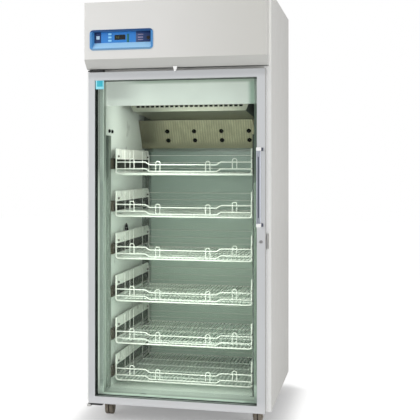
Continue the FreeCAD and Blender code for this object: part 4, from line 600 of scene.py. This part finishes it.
def make_materials():
    """Materials by name: one for each slot of the record, then prints and second finishes."""
    finishes = (
        paint("case_white", srgb(*CASE_TONE)),
        plated("galvanised", (0.52, 0.53, 0.53)),
        foamed("insulation", (0.72, 0.66, 0.48)),
        room_paint("liner_white"),
        light_cover("fascia_white", (0.68, 0.685, 0.67), (0.30, 0.38, 0.33), 0.50),
        frame_strip("breaker_grey"),
        bezel_plastic("bezel_blue", srgb(74, 142, 202), srgb(166, 216, 252)),
        moulded("membrane_blue", srgb(40, 128, 208)),
        moulded("button_blue", srgb(138, 208, 248)),
        moulded("display_black", (0.008, 0.012, 0.016), 0.15),
        moulded("board_black", (0.03, 0.03, 0.035), 0.6),
        door_paint("door_grey"),
        see_through("glass_clear", (0.961, 0.981, 0.966), 0.14),
        # The spacer's faces that look up and down get painted light and shade.
        moulded("spacer_dark", (0.010, 0.012, 0.011), 0.5)
        .paint_light_facing_level((0.19, 0.21, 0.20)).paint_light_facing_down((0.50, 0.55, 0.51)).matt(),
        rubber("gasket_grey", (0.36, 0.37, 0.37)),
        brushed("handle_grey", (0.40, 0.42, 0.47), 0.35, UPRIGHT_STREAK),
        moulded("handle_white", (0.93, 0.93, 0.92), 0.25),
        polished("chrome", (0.62, 0.62, 0.62)),
        plated("zinc", (0.60, 0.60, 0.58)),
        paint("hinge_dark", (0.03, 0.03, 0.03)),
        # Painted shade under the tray and at its right end.
        brushed("stainless", (0.385, 0.385, 0.325), 0.34, FINE_STREAK)
        .paint_light_facing_down((0.28, 0.285, 0.245)).paint_light_and_shade((0.03, 0.055, 0.045), *TRAY_END),
        # Painted shade on the duct towards its head.
        paint("duct_grey", (0.365, 0.44, 0.38), 0.35).paint_light_and_shade((0.22, 0.28, 0.25), DUCT_RISE),
        # Painted light on the slides of the lower drawers.
        paint("slide_black", (0.016, 0.017, 0.013), 0.45).matt()
        .paint_light_and_shade((0.06, 0.075, 0.06), RAILS_BELOW),
        # Painted light on the wires of the upper drawers.
        paint("wire_white", (0.65, 0.635, 0.61), 0.25).paint_light_and_shade((0.86, 0.85, 0.82), WIRE_RISE),
        brushed("coil_bare", (0.70, 0.70, 0.70), 0.3, UPRIGHT_STREAK),
        moulded("fan_black", (0.03, 0.03, 0.03), 0.5),
        plated("motor_plate", (0.50, 0.51, 0.51)),
        paint("compressor_black", (0.02, 0.02, 0.02), 0.3),
        plated("caster_zinc", (0.52, 0.48, 0.40), 0.45),
        rubber("tread_dark", (0.27, 0.235, 0.19)),
        rubber("plug_black", (0.010, 0.010, 0.010)).matt(),
        glowing("lamp_white", (0.92, 0.94, 0.90), 1.5),
        # Painted shade on the upright at the right.
        paint("upright_grey", (0.155, 0.18, 0.16), 0.45).paint_light_and_shade((0.06, 0.07, 0.065), RIGHT_SIDE),
        flange_paint("case_flange"),
        paint("rail_brown", (0.075, 0.064, 0.046), 0.5).matt(),
        moulded("screw_brown", (0.075, 0.065, 0.055)),
        # The bead's faces that look up and down get painted light and shade.
        moulded("bead_dark", (0.016, 0.020, 0.018), 0.5)
        .paint_light_facing_level((0.30, 0.33, 0.31)).paint_light_facing_down((0.17, 0.19, 0.175)).matt(),
        header_paint("header_white"),
        # Painted light on the plates of the upper drawers.
        paint("plate_white", (0.78, 0.77, 0.735), 0.3).paint_light_and_shade((0.93, 0.90, 0.865), PLATE_RISE),
        streaked("panel_steel", (0.40, 0.375, 0.265), 0.45),
        # Near black, painted shade in hollows: slot mouths and air holes.
        rubber("hollow_shade", (0.004, 0.004, 0.003)).matt(),
        # Near black, painted shade in the wheels' groove.
        rubber("wheel_gap", (0.03, 0.027, 0.024)),
        polished("key_dark", (0.05, 0.045, 0.04), 0.3),
        # The drawer floors' wires, painted lighter than the other wires as painted light, most on
        # the lower drawers.
        paint("wire_painted_light", (0.97, 0.98, 0.95), 0.25).paint_light_and_shade((0.86, 0.87, 0.83), FLOOR_RISE),
        # Painted shade in the grip's groove and at the feet of its posts.
        moulded("groove_shade", (0.075, 0.085, 0.12)),
        moulded("hinge_light", (0.60, 0.60, 0.58)),
        moulded("navy_print", srgb(30, 58, 108)),
        moulded("pale_print", srgb(196, 226, 246)),
        moulded("green_print", srgb(22, 104, 100)),
        moulded("mark_print", srgb(150, 140, 168)),
        glowing("digit_print", srgb(112, 118, 70), 0.15),
        moulded("label_rim", srgb(150, 226, 240)),
        moulded("label_tone", srgb(52, 180, 200)),
    )
    return {finish.name: finish.mat for finish in finishes}


# Mesh helpers
def finish_mesh(name, bm, body, slot, material=None):
    """A piece from a bmesh, smooth but for its sharp edges, riding on a body."""
    bmesh.ops.recalc_face_normals(bm, faces=bm.faces)
    mesh = bpy.data.meshes.new(name)
    bm.to_mesh(mesh)
    bm.free()
    mesh.shade_smooth()
    mesh.set_sharp_from_angle(angle=math.radians(SMOOTH_ANGLE))
    mesh.materials.append(materials[material or slot])
    piece = bpy.data.objects.new(name, mesh)
    bpy.context.scene.collection.objects.link(piece)
    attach(piece, body)
    return piece


def band(bm, a, b):
    """Ring of faces between two closed rings of vertices."""
    for k in range(len(a)):
        j = (k + 1) % len(a)
        bm.faces.new((a[k], a[j], b[j], b[k]))


def prism(bm, first, second):
    """Closed solid between two like outlines of points."""
    a = [bm.verts.new(point) for point in first]
    b = [bm.verts.new(point) for point in second]
    bm.faces.new(a)
    bm.faces.new(list(reversed(b)))
    band(bm, a, b)


def bent(points, radius):
    """Points of a bent wire: each corner becomes an arc of that radius."""
    path = [points[0]]
    for before, corner, after in zip(points, points[1:], points[2:]):
        back, ahead = before - corner, after - corner
        turn = math.pi - back.angle(ahead)
        reach = min(radius * math.tan(turn / 2), back.length / 2, ahead.length / 2)
        start, end = corner + back.normalized() * reach, corner + ahead.normalized() * reach
        for k in range(BEND_STEPS + 1):
            t = k / BEND_STEPS
            path.append(start * (1 - t) ** 2 + corner * (2 * t * (1 - t)) + end * t ** 2)
    return path + [points[-1]]


def tube(bm, path, radius, across, sides=WIRE_SIDES):
    """Round wire along a flat path; across is the direction square to the path's plane."""
    rings = []
    for i, point in enumerate(path):
        along = (path[min(i + 1, len(path) - 1)] - path[max(i - 1, 0)]).normalized()
        side = along.cross(across).normalized()
        ring = []
        for k in range(sides):
            angle = 2 * math.pi * k / sides
            offset = across * math.cos(angle) + side * math.sin(angle)
            ring.append(bm.verts.new(point + offset * radius))
        rings.append(ring)
    for a, b in zip(rings, rings[1:]):
        band(bm, a, b)
    bm.faces.new(rings[0])
    bm.faces.new(list(reversed(rings[-1])))


def block(bm, low, high):
    """Box between two corners, in the frame's metres."""
    size = high - low
    for vert in bmesh.ops.create_cube(bm, size=1.0)["verts"]:
        vert.co = Vector([low[k] + (vert.co[k] + 0.5) * size[k] for k in range(3)])


def bevel_all(bm, width):
    """Rounds every sharp edge by a width in millimetres."""
    edges = [e for e in bm.edges if len(e.link_faces) == 2
             and e.calc_face_angle(0) > math.radians(SHARP_ANGLE)]
    bmesh.ops.bevel(bm, geom=edges, offset=width * MM, segments=2, profile=0.5,
                    affect="EDGES", clamp_overlap=True)


def slab(name, x, y, z, body, slot, material=None, edge=THIN_EDGE):
    """Thin plate with softened edges between cabinet ranges x, y and z."""
    bm = bmesh.new()
    block(bm, place(x[0], y[0], z[0]), place(x[1], y[1], z[1]))
    bevel_all(bm, edge)
    return finish_mesh(name, bm, body, slot, material)


def turned(bm, centre, axis, profile, sides=24, closed=False):
    """Turned sheet from (radius, height) pairs along an axis; closed puts a face on its start."""
    turn = Vector((0, 0, 1)).rotation_difference(axis).to_matrix().to_4x4()
    last = None
    for radius, height in profile:
        ring = []
        for k in range(sides if radius else 1):
            angle = 2 * math.pi * k / sides
            local = Vector((radius * math.cos(angle), radius * math.sin(angle), height))
            ring.append(bm.verts.new(centre + turn @ (local * MM)))
        if last is None:
            if closed:
                bm.faces.new(list(reversed(ring)))
        elif len(ring) == 1:
            for k in range(sides):
                bm.faces.new((last[k], last[(k + 1) % sides], ring[0]))
        elif len(last) == 1:
            for k in range(sides):
                bm.faces.new((last[0], ring[(k + 1) % sides], ring[k]))
        else:
            band(bm, last, ring)
        last = ring


def disc(bm, centre, axis, radius, height, dome, sides=24):
    """Short round piece whose front face is domed; axis points out of its face."""
    profile = [(radius * r, height * h + dome * d) for r, h, d in DISC_SHAPE]
    turned(bm, centre, axis, profile, sides, True)


# Drawers
def drawer_space(index):
    """Half width, front, rear and floor of one drawer, in cabinet millimetres."""
    (_, right), (front, rear), (floor, _) = ranges_of("drawer_%d" % index)
    return right - SLIDE_REACH, front, rear, floor


def drawer_piece(part, index, bm, slot, material=None):
    """One piece that stands in for a drawer's own solid."""
    node = "drawer_%d" % index
    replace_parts(finish_mesh("%s_%d" % (part, index), bm, node, slot, material), node)


def basket_wires(index):
    """Bent frame, dipped front rails with tag hoops, rear and side wires, and a dense floor."""
    outer, front, rear, floor = drawer_space(index)
    half = outer - FRAME_INSET
    y0, y1 = front + FRAME_WIRE, rear - FRAME_WIRE
    bm = bmesh.new()
    up, ahead, side = Vector((0, 0, 1)), Vector((0, 1, 0)), Vector((1, 0, 0))

    def wire(points, radius, across, bend=0.0, sides=WIRE_SIDES):
        path = [place(x, y, floor + z) for x, y, z in points]
        tube(bm, bent(path, bend * MM) if bend else path, radius * MM, across, sides)

    low, top, turned_down = FRAME_WIRE, SIDE_HEIGHT, SIDE_HEIGHT - PLATE_CORNER
    for y, head in ((y0, top), (y1, turned_down + RAIL_WIRE)):
        wire([(-half, y, head), (-half, y, low), (half, y, low), (half, y, head)],
             FRAME_WIRE, ahead, BEND, HEAVY_SIDES)
    for x in (-half, half):
        wire([(x, y0, low + EDGE_RISE), (x, y1, low + EDGE_RISE)], EDGE_WIRE, up)
    for z_end in (FRONT_HEIGHT, LOWER_RAIL):
        z_dip = z_end - FRONT_DIP
        wire([(-half, y0, z_end), (-DIP_START, y0, z_end), (-DIP_END, y0, z_dip),
              (DIP_END, y0, z_dip), (DIP_START, y0, z_end), (half, y0, z_end)],
             RAIL_WIRE, ahead, RAIL_BEND)
    for x in HOOP_CENTRES:
        drop = 0 if abs(x) > DIP_END else FRONT_DIP
        left, right, y = x - HOOP_WIDTH / 2, x + HOOP_WIDTH / 2, y0 - HOOP_AHEAD
        foot, crown = LOWER_RAIL - drop, FRONT_HEIGHT - drop + HOOP_RISE
        wire([(left, y, foot), (left, y, crown), (right, y, crown), (right, y, foot)],
             HOOP_WIRE, ahead, HOOP_BEND)
    for z in (LOWER_RAIL, FRONT_HEIGHT, turned_down):
        wire([(-half, y1, z), (half, y1, z)], REAR_WIRE, ahead)
    for way in (-1, 1):
        x = way * (outer - PLATE_SHEET - SIDE_WIRE)
        for depth in SIDE_WIRES:
            wire([(x, front + depth, low), (x, front + depth, top - SIDE_WIRE_DROP)],
                 SIDE_WIRE, side)
        wire([(x, y0, LOWER_RAIL), (x, y1, LOWER_RAIL)], HOOP_WIRE, up)
    drawer_piece("basket", index, bm, "wire_white")
    bm = bmesh.new()
    level = 2 * FRAME_WIRE - FLOOR_WIRE
    pitch = 2 * half / (FLOOR_WIRES + 1)
    for i in range(1, FLOOR_WIRES + 1):
        x = -half + i * pitch
        wire([(x, y0, level), (x, y1, level)], FLOOR_WIRE, up, sides=FLOOR_SIDES)
    pitch = (y1 - y0) / (CROSS_WIRES + 1)
    for i in range(1, CROSS_WIRES + 1):
        y = y0 + i * pitch
        wire([(-half, y, level - CROSS_DROP), (half, y, level - CROSS_DROP)], CROSS_WIRE,
             ahead, sides=FLOOR_SIDES)
    drawer_piece("basket_floor", index, bm, "wire_white", "wire_painted_light")


def plate_outline(front, rear, low, high):
    """Side plate seen from the side: (y, z) pairs with a large upper rear corner."""
    points = []
    for y, z, dy, dz, radius, start in ((front, low, 1, 1, PLATE_FOOT_CORNER, 270),
                                        (front, high, 1, -1, PLATE_FRONT_CORNER, 180),
                                        (rear, high, -1, -1, PLATE_CORNER, 90),
                                        (rear, low, -1, 1, PLATE_FOOT_CORNER, 0)):
        for k in range(CORNER_STEPS + 1):
            angle = math.radians(start - k * 90 / CORNER_STEPS)
            points.append((y + radius * (dy + math.cos(angle)),
                           z + radius * (dz + math.sin(angle))))
    return points


def side_plates(index):
    """Painted plates along the tops of both sides, with two slide screws each."""
    outer, front, rear, floor = drawer_space(index)
    inner, high = outer - PLATE_SHEET, floor + SIDE_HEIGHT
    outline = plate_outline(front + PLATE_END, rear - PLATE_END, high - PLATE_HEIGHT, high)
    bm = bmesh.new()
    for way in (-1, 1):
        prism(bm, [place(way * outer, y, z) for y, z in outline],
              [place(way * inner, y, z) for y, z in outline])
    drawer_piece("side_plates", index, bm, "wire_white", "plate_white")
    bm = bmesh.new()
    for way in (-1, 1):
        for y in (front + SCREW_INSET, rear - SCREW_INSET):
            disc(bm, place(way * inner, y, high - SCREW_DROP), Vector((-way, 0, 0)),
                 SCREW_RADIUS, SCREW_HEIGHT, SCREW_DOME, 16)
    drawer_piece("slide_screws", index, bm, "zinc", "screw_brown")


def slide_members(index):
    """Moving members of both slides: channels with turned lips."""
    web, front, rear, floor = drawer_space(index)
    low, high = floor + SLIDE_LOW, floor + SLIDE_HIGH
    wall, lip, tip = SLIDE_SHEET, SLIDE_LIP, web + SLIDE_REACH - SLIDE_GAP
    outline = [(web, low), (tip, low), (tip, low + lip), (tip - wall, low + lip),
               (tip - wall, low + wall), (web + wall, low + wall), (web + wall, high - wall),
               (tip - wall, high - wall), (tip - wall, high - lip), (tip, high - lip),
               (tip, high), (web, high)]
    bm = bmesh.new()
    for way in (-1, 1):
        prism(bm, [place(way * x, front + SLIDE_INSET, z) for x, z in outline],
              [place(way * x, rear - SLIDE_INSET, z) for x, z in outline])
    drawer_piece("slide_member", index, bm, "slide_black")


# Control panel
def seven_segments(text, x, z, height, y):
    """Plain lit figures built from bars, as one mesh."""
    bars = {"4": "bcfg", "0": "abcdef", ".": "p"}
    width, thick = height * FIGURE_WIDTH, height * FIGURE_BAR
    point = thick * POINT_SIZE
    where = {"a": (0, height - thick, width, thick), "d": (0, 0, width, thick),
             "g": (0, height / 2 - thick / 2, width, thick),
             "f": (0, height / 2, thick, height / 2), "e": (0, 0, thick, height / 2),
             "b": (width - thick, height / 2, thick, height / 2),
             "c": (width - thick, 0, thick, height / 2), "p": (0, 0, point, point)}
    bm = bmesh.new()
    for figure in text:
        for bar in bars[figure]:
            dx, dz, w, h = where[bar]
            block(bm, place(x + dx, y - FIGURE_RELIEF, z + dz), place(x + dx + w, y, z + dz + h))
        x += width * (POINT_STEP if figure == "." else FIGURE_STEP)
    finish_mesh("display_figures", bm, "cabinet", "display_black", "digit_print")


def panel_print():
    """Strips and marks printed on the membrane."""
    (x0, x1), _, full = ranges_of("control_panel")
    rows = [("print_left", (x0, PRINT_LEFT_END), full, 0, "navy_print"),
            ("print_square", SQUARE_X, SQUARE_Z, 1, "pale_print"),
            ("print_bar", BAR_X, BAR_Z, 0, "green_print"),
            ("print_right", (PRINT_RIGHT_START, x1), full, 0, "navy_print")]
    for i, (z, half) in enumerate(MARKS):
        rows.append(("print_mark_%d" % (i + 1), MARK_X, (z - half, z + half), 1, "mark_print"))
    for name, x, z, layer, material in rows:
        slab(name, x, PRINT_LAYERS[layer], z, "cabinet", "membrane_blue", material)


# Small fittings
def glass_label():
    """Blank two-tone square in the glass's upper corner."""
    _, (y, _), _ = ranges_of("glass_panes")
    for name, x, z, ahead, behind in LABEL:
        slab(name, x, (y - ahead, y - behind), z, "door", "glass_clear", name)


def wall_fittings():
    """Two black stoppers on the left wall, and the boot of the sensor bulb."""
    bm = bmesh.new()
    for y, z in STOPPERS:
        disc(bm, place(WALL_X, y, z), Vector((1, 0, 0)), STOPPER_RADIUS, STOPPER_HEIGHT,
             STOPPER_DOME)
    finish_mesh("wall_stoppers", bm, "cabinet", "plug_black")
    (_, x), (y0, y1), _ = ranges_of("port_plug")
    bm = bmesh.new()
    turned(bm, place(x - PROBE_INSET, (y0 + y1) / 2, PROBE_TIP), Vector((0, 0, -1)),
           PROBE_SHAPE, 20)
    finish_mesh("probe_boot", bm, "cabinet", "plug_black")


def lip_slots():
    """Black sheets on the tray's lip, painted shade in the mouths of its slots."""
    bm = bmesh.new()
    y0, y1 = (LIP_Y - ahead for ahead in LIP_SLOT_DEPTH)
    for i in range(LIP_SLOTS):
        x = (i - (LIP_SLOTS - 1) / 2) * LIP_SLOT_PITCH
        block(bm, place(x - LIP_SLOT_WIDTH / 2, y0, LIP_SLOT_Z[0]),
              place(x + LIP_SLOT_WIDTH / 2, y1, LIP_SLOT_Z[1]))
    finish_mesh("lip_slots", bm, "cabinet", "stainless", "hollow_shade")


def air_outlets():
    """Closed black cups behind the eight holes of the air panel, as painted shade inside the holes.
    """
    along = Vector((0, AIR_FOOT[0] - AIR_HEAD[0], AIR_FOOT[1] - AIR_HEAD[1])).normalized()
    out = Vector((0, along.z, -along.y))
    bm = bmesh.new()
    for down in AIR_ROWS:
        for k in range(AIR_HOLES):
            x = AIR_SHIFT + (k - (AIR_HOLES - 1) / 2) * AIR_PITCH
            y, z = AIR_HEAD[0] + along.y * down, AIR_HEAD[1] + along.z * down
            turned(bm, place(x, y, z), out, AIR_CUP)
    finish_mesh("air_outlets", bm, "cabinet", "fan_black", "hollow_shade")


def ring_profile(bm, centre, profile):
    """Turned piece about an axle along x, from (x, radius) pairs, closed at both ends."""
    rings = []
    for x, radius in profile:
        ring = []
        for k in range(WHEEL_SIDES):
            angle = 2 * math.pi * k / WHEEL_SIDES
            local = Vector((x, radius * math.cos(angle), radius * math.sin(angle)))
            ring.append(bm.verts.new(centre + local * MM))
        rings.append(ring)
    for a, b in zip(rings, rings[1:]):
        band(bm, a, b)
    bm.faces.new(rings[0])
    bm.faces.new(list(reversed(rings[-1])))


def caster_wheel(place_name):
    """Wheel with two flat treads, a groove between them whose core is painted near black as shade,
    and dished sides.
    """
    name = "wheel_" + place_name
    low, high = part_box(name)
    centre = (low + high) / 2
    radius, half = (high.z - low.z) / 2 / MM, (high.x - low.x) / 2 / MM
    gap, edge, hub = TREAD_GROOVE / 2, TREAD_EDGE, radius * HUB_SHARE
    profile = ((gap, radius - edge * 2), (gap, radius - edge * 0.4), (gap + edge * 0.4, radius),
               (half - edge, radius), (half - edge * 0.3, radius - edge * 0.3),
               (half, radius - edge), (half, hub), (half - edge, hub - edge),
               (half - edge, radius * BORE_SHARE))
    for side, way in (("outer", -1), ("inner", 1)):
        bm = bmesh.new()
        ring_profile(bm, centre, [(way * x, r) for x, r in profile])
        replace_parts(finish_mesh("tread_%s_%s" % (side, place_name), bm, name, "tread_dark"), name)
    bm = bmesh.new()
    ring_profile(bm, centre, [(x, radius - GROOVE_FLOOR) for x in (-gap, gap)])
    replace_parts(finish_mesh("wheel_core_" + place_name, bm, name, "tread_dark", "wheel_gap"),
                name)


def grip_groove():
    """Dark strip down the grip bar, painted shade in its groove."""
    (x0, x1), (y, _), (z0, z1) = ranges_of("handle_bar")
    middle = (x0 + x1) / 2
    slab("grip_groove", (middle - GROOVE_HALF, middle + GROOVE_HALF),
         (y - GROOVE_DEPTH[0], y + GROOVE_DEPTH[1]), (z0 + GROOVE_END, z1 - GROOVE_END),
         "door", "handle_grey", "groove_shade", GROOVE_EDGE)


def end_posts():
    """White cap over each end of the grip, a narrower foot, and a dark washer on the door, which
    paints the shade at the post's foot.
    """
    _, (y0, y1), (post_low, post_high) = ranges_of("handle_posts")
    (x0, x1), _, (bar_low, bar_high) = ranges_of("handle_bar")
    cap, door = y0 + CAP_DEPTH, y1 - WASHER_SHEET
    for name, z0, z1 in (("low", post_low, bar_low + CAP_OVER),
                         ("high", bar_high - CAP_OVER, post_high)):
        parts = (("cap", (x0 - CAP_PAST, x1 + CAP_PAST), (y0, cap), 0.0, "handle_white"),
                 ("foot", (x0 + FOOT_INSET[0], x1 - FOOT_INSET[1]), (cap - FOOT_IN_CAP, door),
                  FOOT_END, "handle_white"),
                 ("washer", (x0 + WASHER_SIDES[0], x1 + WASHER_SIDES[1]), (door, y1),
                  WASHER_END, "groove_shade"))
        for (part, x, y, inset, finish), edge in zip(parts, POST_EDGES):
            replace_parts(slab("post_%s_%s" % (part, name), x, y, (z0 + inset, z1 - inset), "door",
                             "handle_white", finish, edge), "handle_posts")


def catch_lug():
    """Lug at the door's head, wide above and narrow below."""
    (x0, x1), (y0, y1), (z0, z1) = ranges_of("door_magnet")
    neck = z1 - LUG_HEAD
    outline = [(x0, z1), (x0, neck), (x0 + LUG_SLANT, z0), (x1 - LUG_SLANT, z0), (x1, neck),
               (x1, z1)]
    bm = bmesh.new()
    prism(bm, [place(x, y0, z) for x, z in outline], [place(x, y1, z) for x, z in outline])
    bevel_all(bm, LUG_EDGE)
    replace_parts(finish_mesh("catch_lug", bm, "door", "handle_white"), "door_magnet")


def assign_slots():
    """Gives every node of the frame its slot and its material."""
    for row in frame["record"]["subparts"]:
        node, slot = frame["nodes"][row["node"]], row["material_slot"]
        node.data.materials.clear()
        node.data.materials.append(materials[OWN_FINISH.get(row["node"], slot)])


# Studio
def set_camera():
    """Camera in the photograph's place, with its picture centre off the axis."""
    data = bpy.data.cameras.new("view")
    data.sensor_width = SENSOR
    data.lens = FOCAL_PIXELS * SENSOR / FRAME_PIXELS
    data.shift_x = (FRAME_PIXELS / 2 - PRINCIPAL_X) / FRAME_PIXELS
    data.shift_y = (PRINCIPAL_Y - FRAME_PIXELS / 2) / FRAME_PIXELS
    data.clip_end = CLIP_END
    made = bpy.data.objects.new("view", data)
    bpy.context.scene.collection.objects.link(made)
    made.location = place(*CAMERA_PLACE)
    made.rotation_euler = (math.pi / 2, 0, math.radians(CAMERA_YAW))
    bpy.context.scene.camera = made


def set_world():
    """White to the eye, softer grey as light."""
    made = bpy.data.worlds.new("studio")
    bpy.context.scene.world = made
    made.use_nodes = True
    nodes, links = made.node_tree.nodes, made.node_tree.links
    nodes.clear()
    path = nodes.new("ShaderNodeLightPath")
    join = nodes.new("ShaderNodeMixShader")
    out = nodes.new("ShaderNodeOutputWorld")
    links.new(path.outputs["Is Camera Ray"], join.inputs["Fac"])
    for socket, strength in ((1, WORLD_LIGHT), (2, 1.0)):
        sky = nodes.new("ShaderNodeBackground")
        sky.inputs["Color"].default_value = (*WHITE, 1)
        sky.inputs["Strength"].default_value = strength
        links.new(sky.outputs["Background"], join.inputs[socket])
    links.new(join.outputs["Shader"], out.inputs["Surface"])


def lay_floor():
    """Pale floor that looks white but keeps the cabinet's shadow; its glow is weaker near the
    footprint, a painted shadow round the cabinet.
    """
    mesh = bpy.data.meshes.new("floor")
    corners = [(x * FLOOR_HALF, y * FLOOR_HALF, 0) for x, y in ((-1, -1), (1, -1), (1, 1), (-1, 1))]
    mesh.from_pydata(corners, [], [(0, 1, 2, 3)])
    made = Finish("floor_white", FLOOR_TONE, 0.9).vary(amount=0.01, scale=1.0)
    away = []
    for axis, half, middle in FOOTPRINT:
        offset = made.maths("SUBTRACT", made.part(made.coords(), axis), middle)
        beyond = made.maths("SUBTRACT", made.maths("ABSOLUTE", offset), half)
        away.append(made.maths("MAXIMUM", beyond, 0.0))
    fade = made.ranged(made.maths("ADD", *away), (0.0, FLOOR_FADE), FLOOR_LIFT,
                       interpolation_type="SMOOTHSTEP")
    glow, add = made.node("Emission"), made.node("AddShader")
    seen = made.node("LightPath").outputs["Is Camera Ray"]
    made.link(made.maths("MULTIPLY", seen, fade), glow.inputs["Strength"])
    made.link(made.shader.outputs["BSDF"], add.inputs[0])
    made.link(glow.outputs["Emission"], add.inputs[1])
    made.link(add.outputs["Shader"], made.tree.nodes["Material Output"].inputs["Surface"])
    mesh.materials.append(made.mat)
    piece = bpy.data.objects.new("floor", mesh)
    bpy.context.scene.collection.objects.link(piece)


def softbox(name, where, target, size, watts, colour):
    """Square lamp that looks at a target."""
    data = bpy.data.lights.new(name, "AREA")
    data.shape = "RECTANGLE"
    data.size, data.size_y = size
    data.energy = watts
    data.color = colour
    lamp = bpy.data.objects.new(name, data)
    bpy.context.scene.collection.objects.link(lamp)
    lamp.location = where
    lamp.rotation_euler = (target - where).to_track_quat("-Z", "Y").to_euler()


def set_lights():
    """Three lamps round the cabinet and two inside its room."""
    for name, where, target, size, watts in STUDIO_LAMPS:
        softbox(name, Vector(where), Vector(target), size, watts, WHITE)
    for name, where, target, size, watts in ROOM_LAMPS:
        softbox(name, place(*where), place(*target), size, watts, ROOM_TINT)


# The whole picture
materials = make_materials()
bpy.context.scene.view_settings.view_transform = "Standard"
set_camera()
set_world()
lay_floor()
set_lights()
assign_slots()
for number in range(1, DRAWER_COUNT + 1):
    basket_wires(number)
    side_plates(number)
    slide_members(number)
seven_segments(FIGURES, *FIGURE_PLACE, FIGURE_HEIGHT, FIGURE_Y)
panel_print()
glass_label()
wall_fittings()
lip_slots()
air_outlets()
grip_groove()
end_posts()
catch_lug()
slab("hinge_cap", *HINGE_CAP, "cabinet", "hinge_dark", "hinge_light", HINGE_CAP_EDGE)
for caster in CASTER_PLACES:
    caster_wheel(caster)
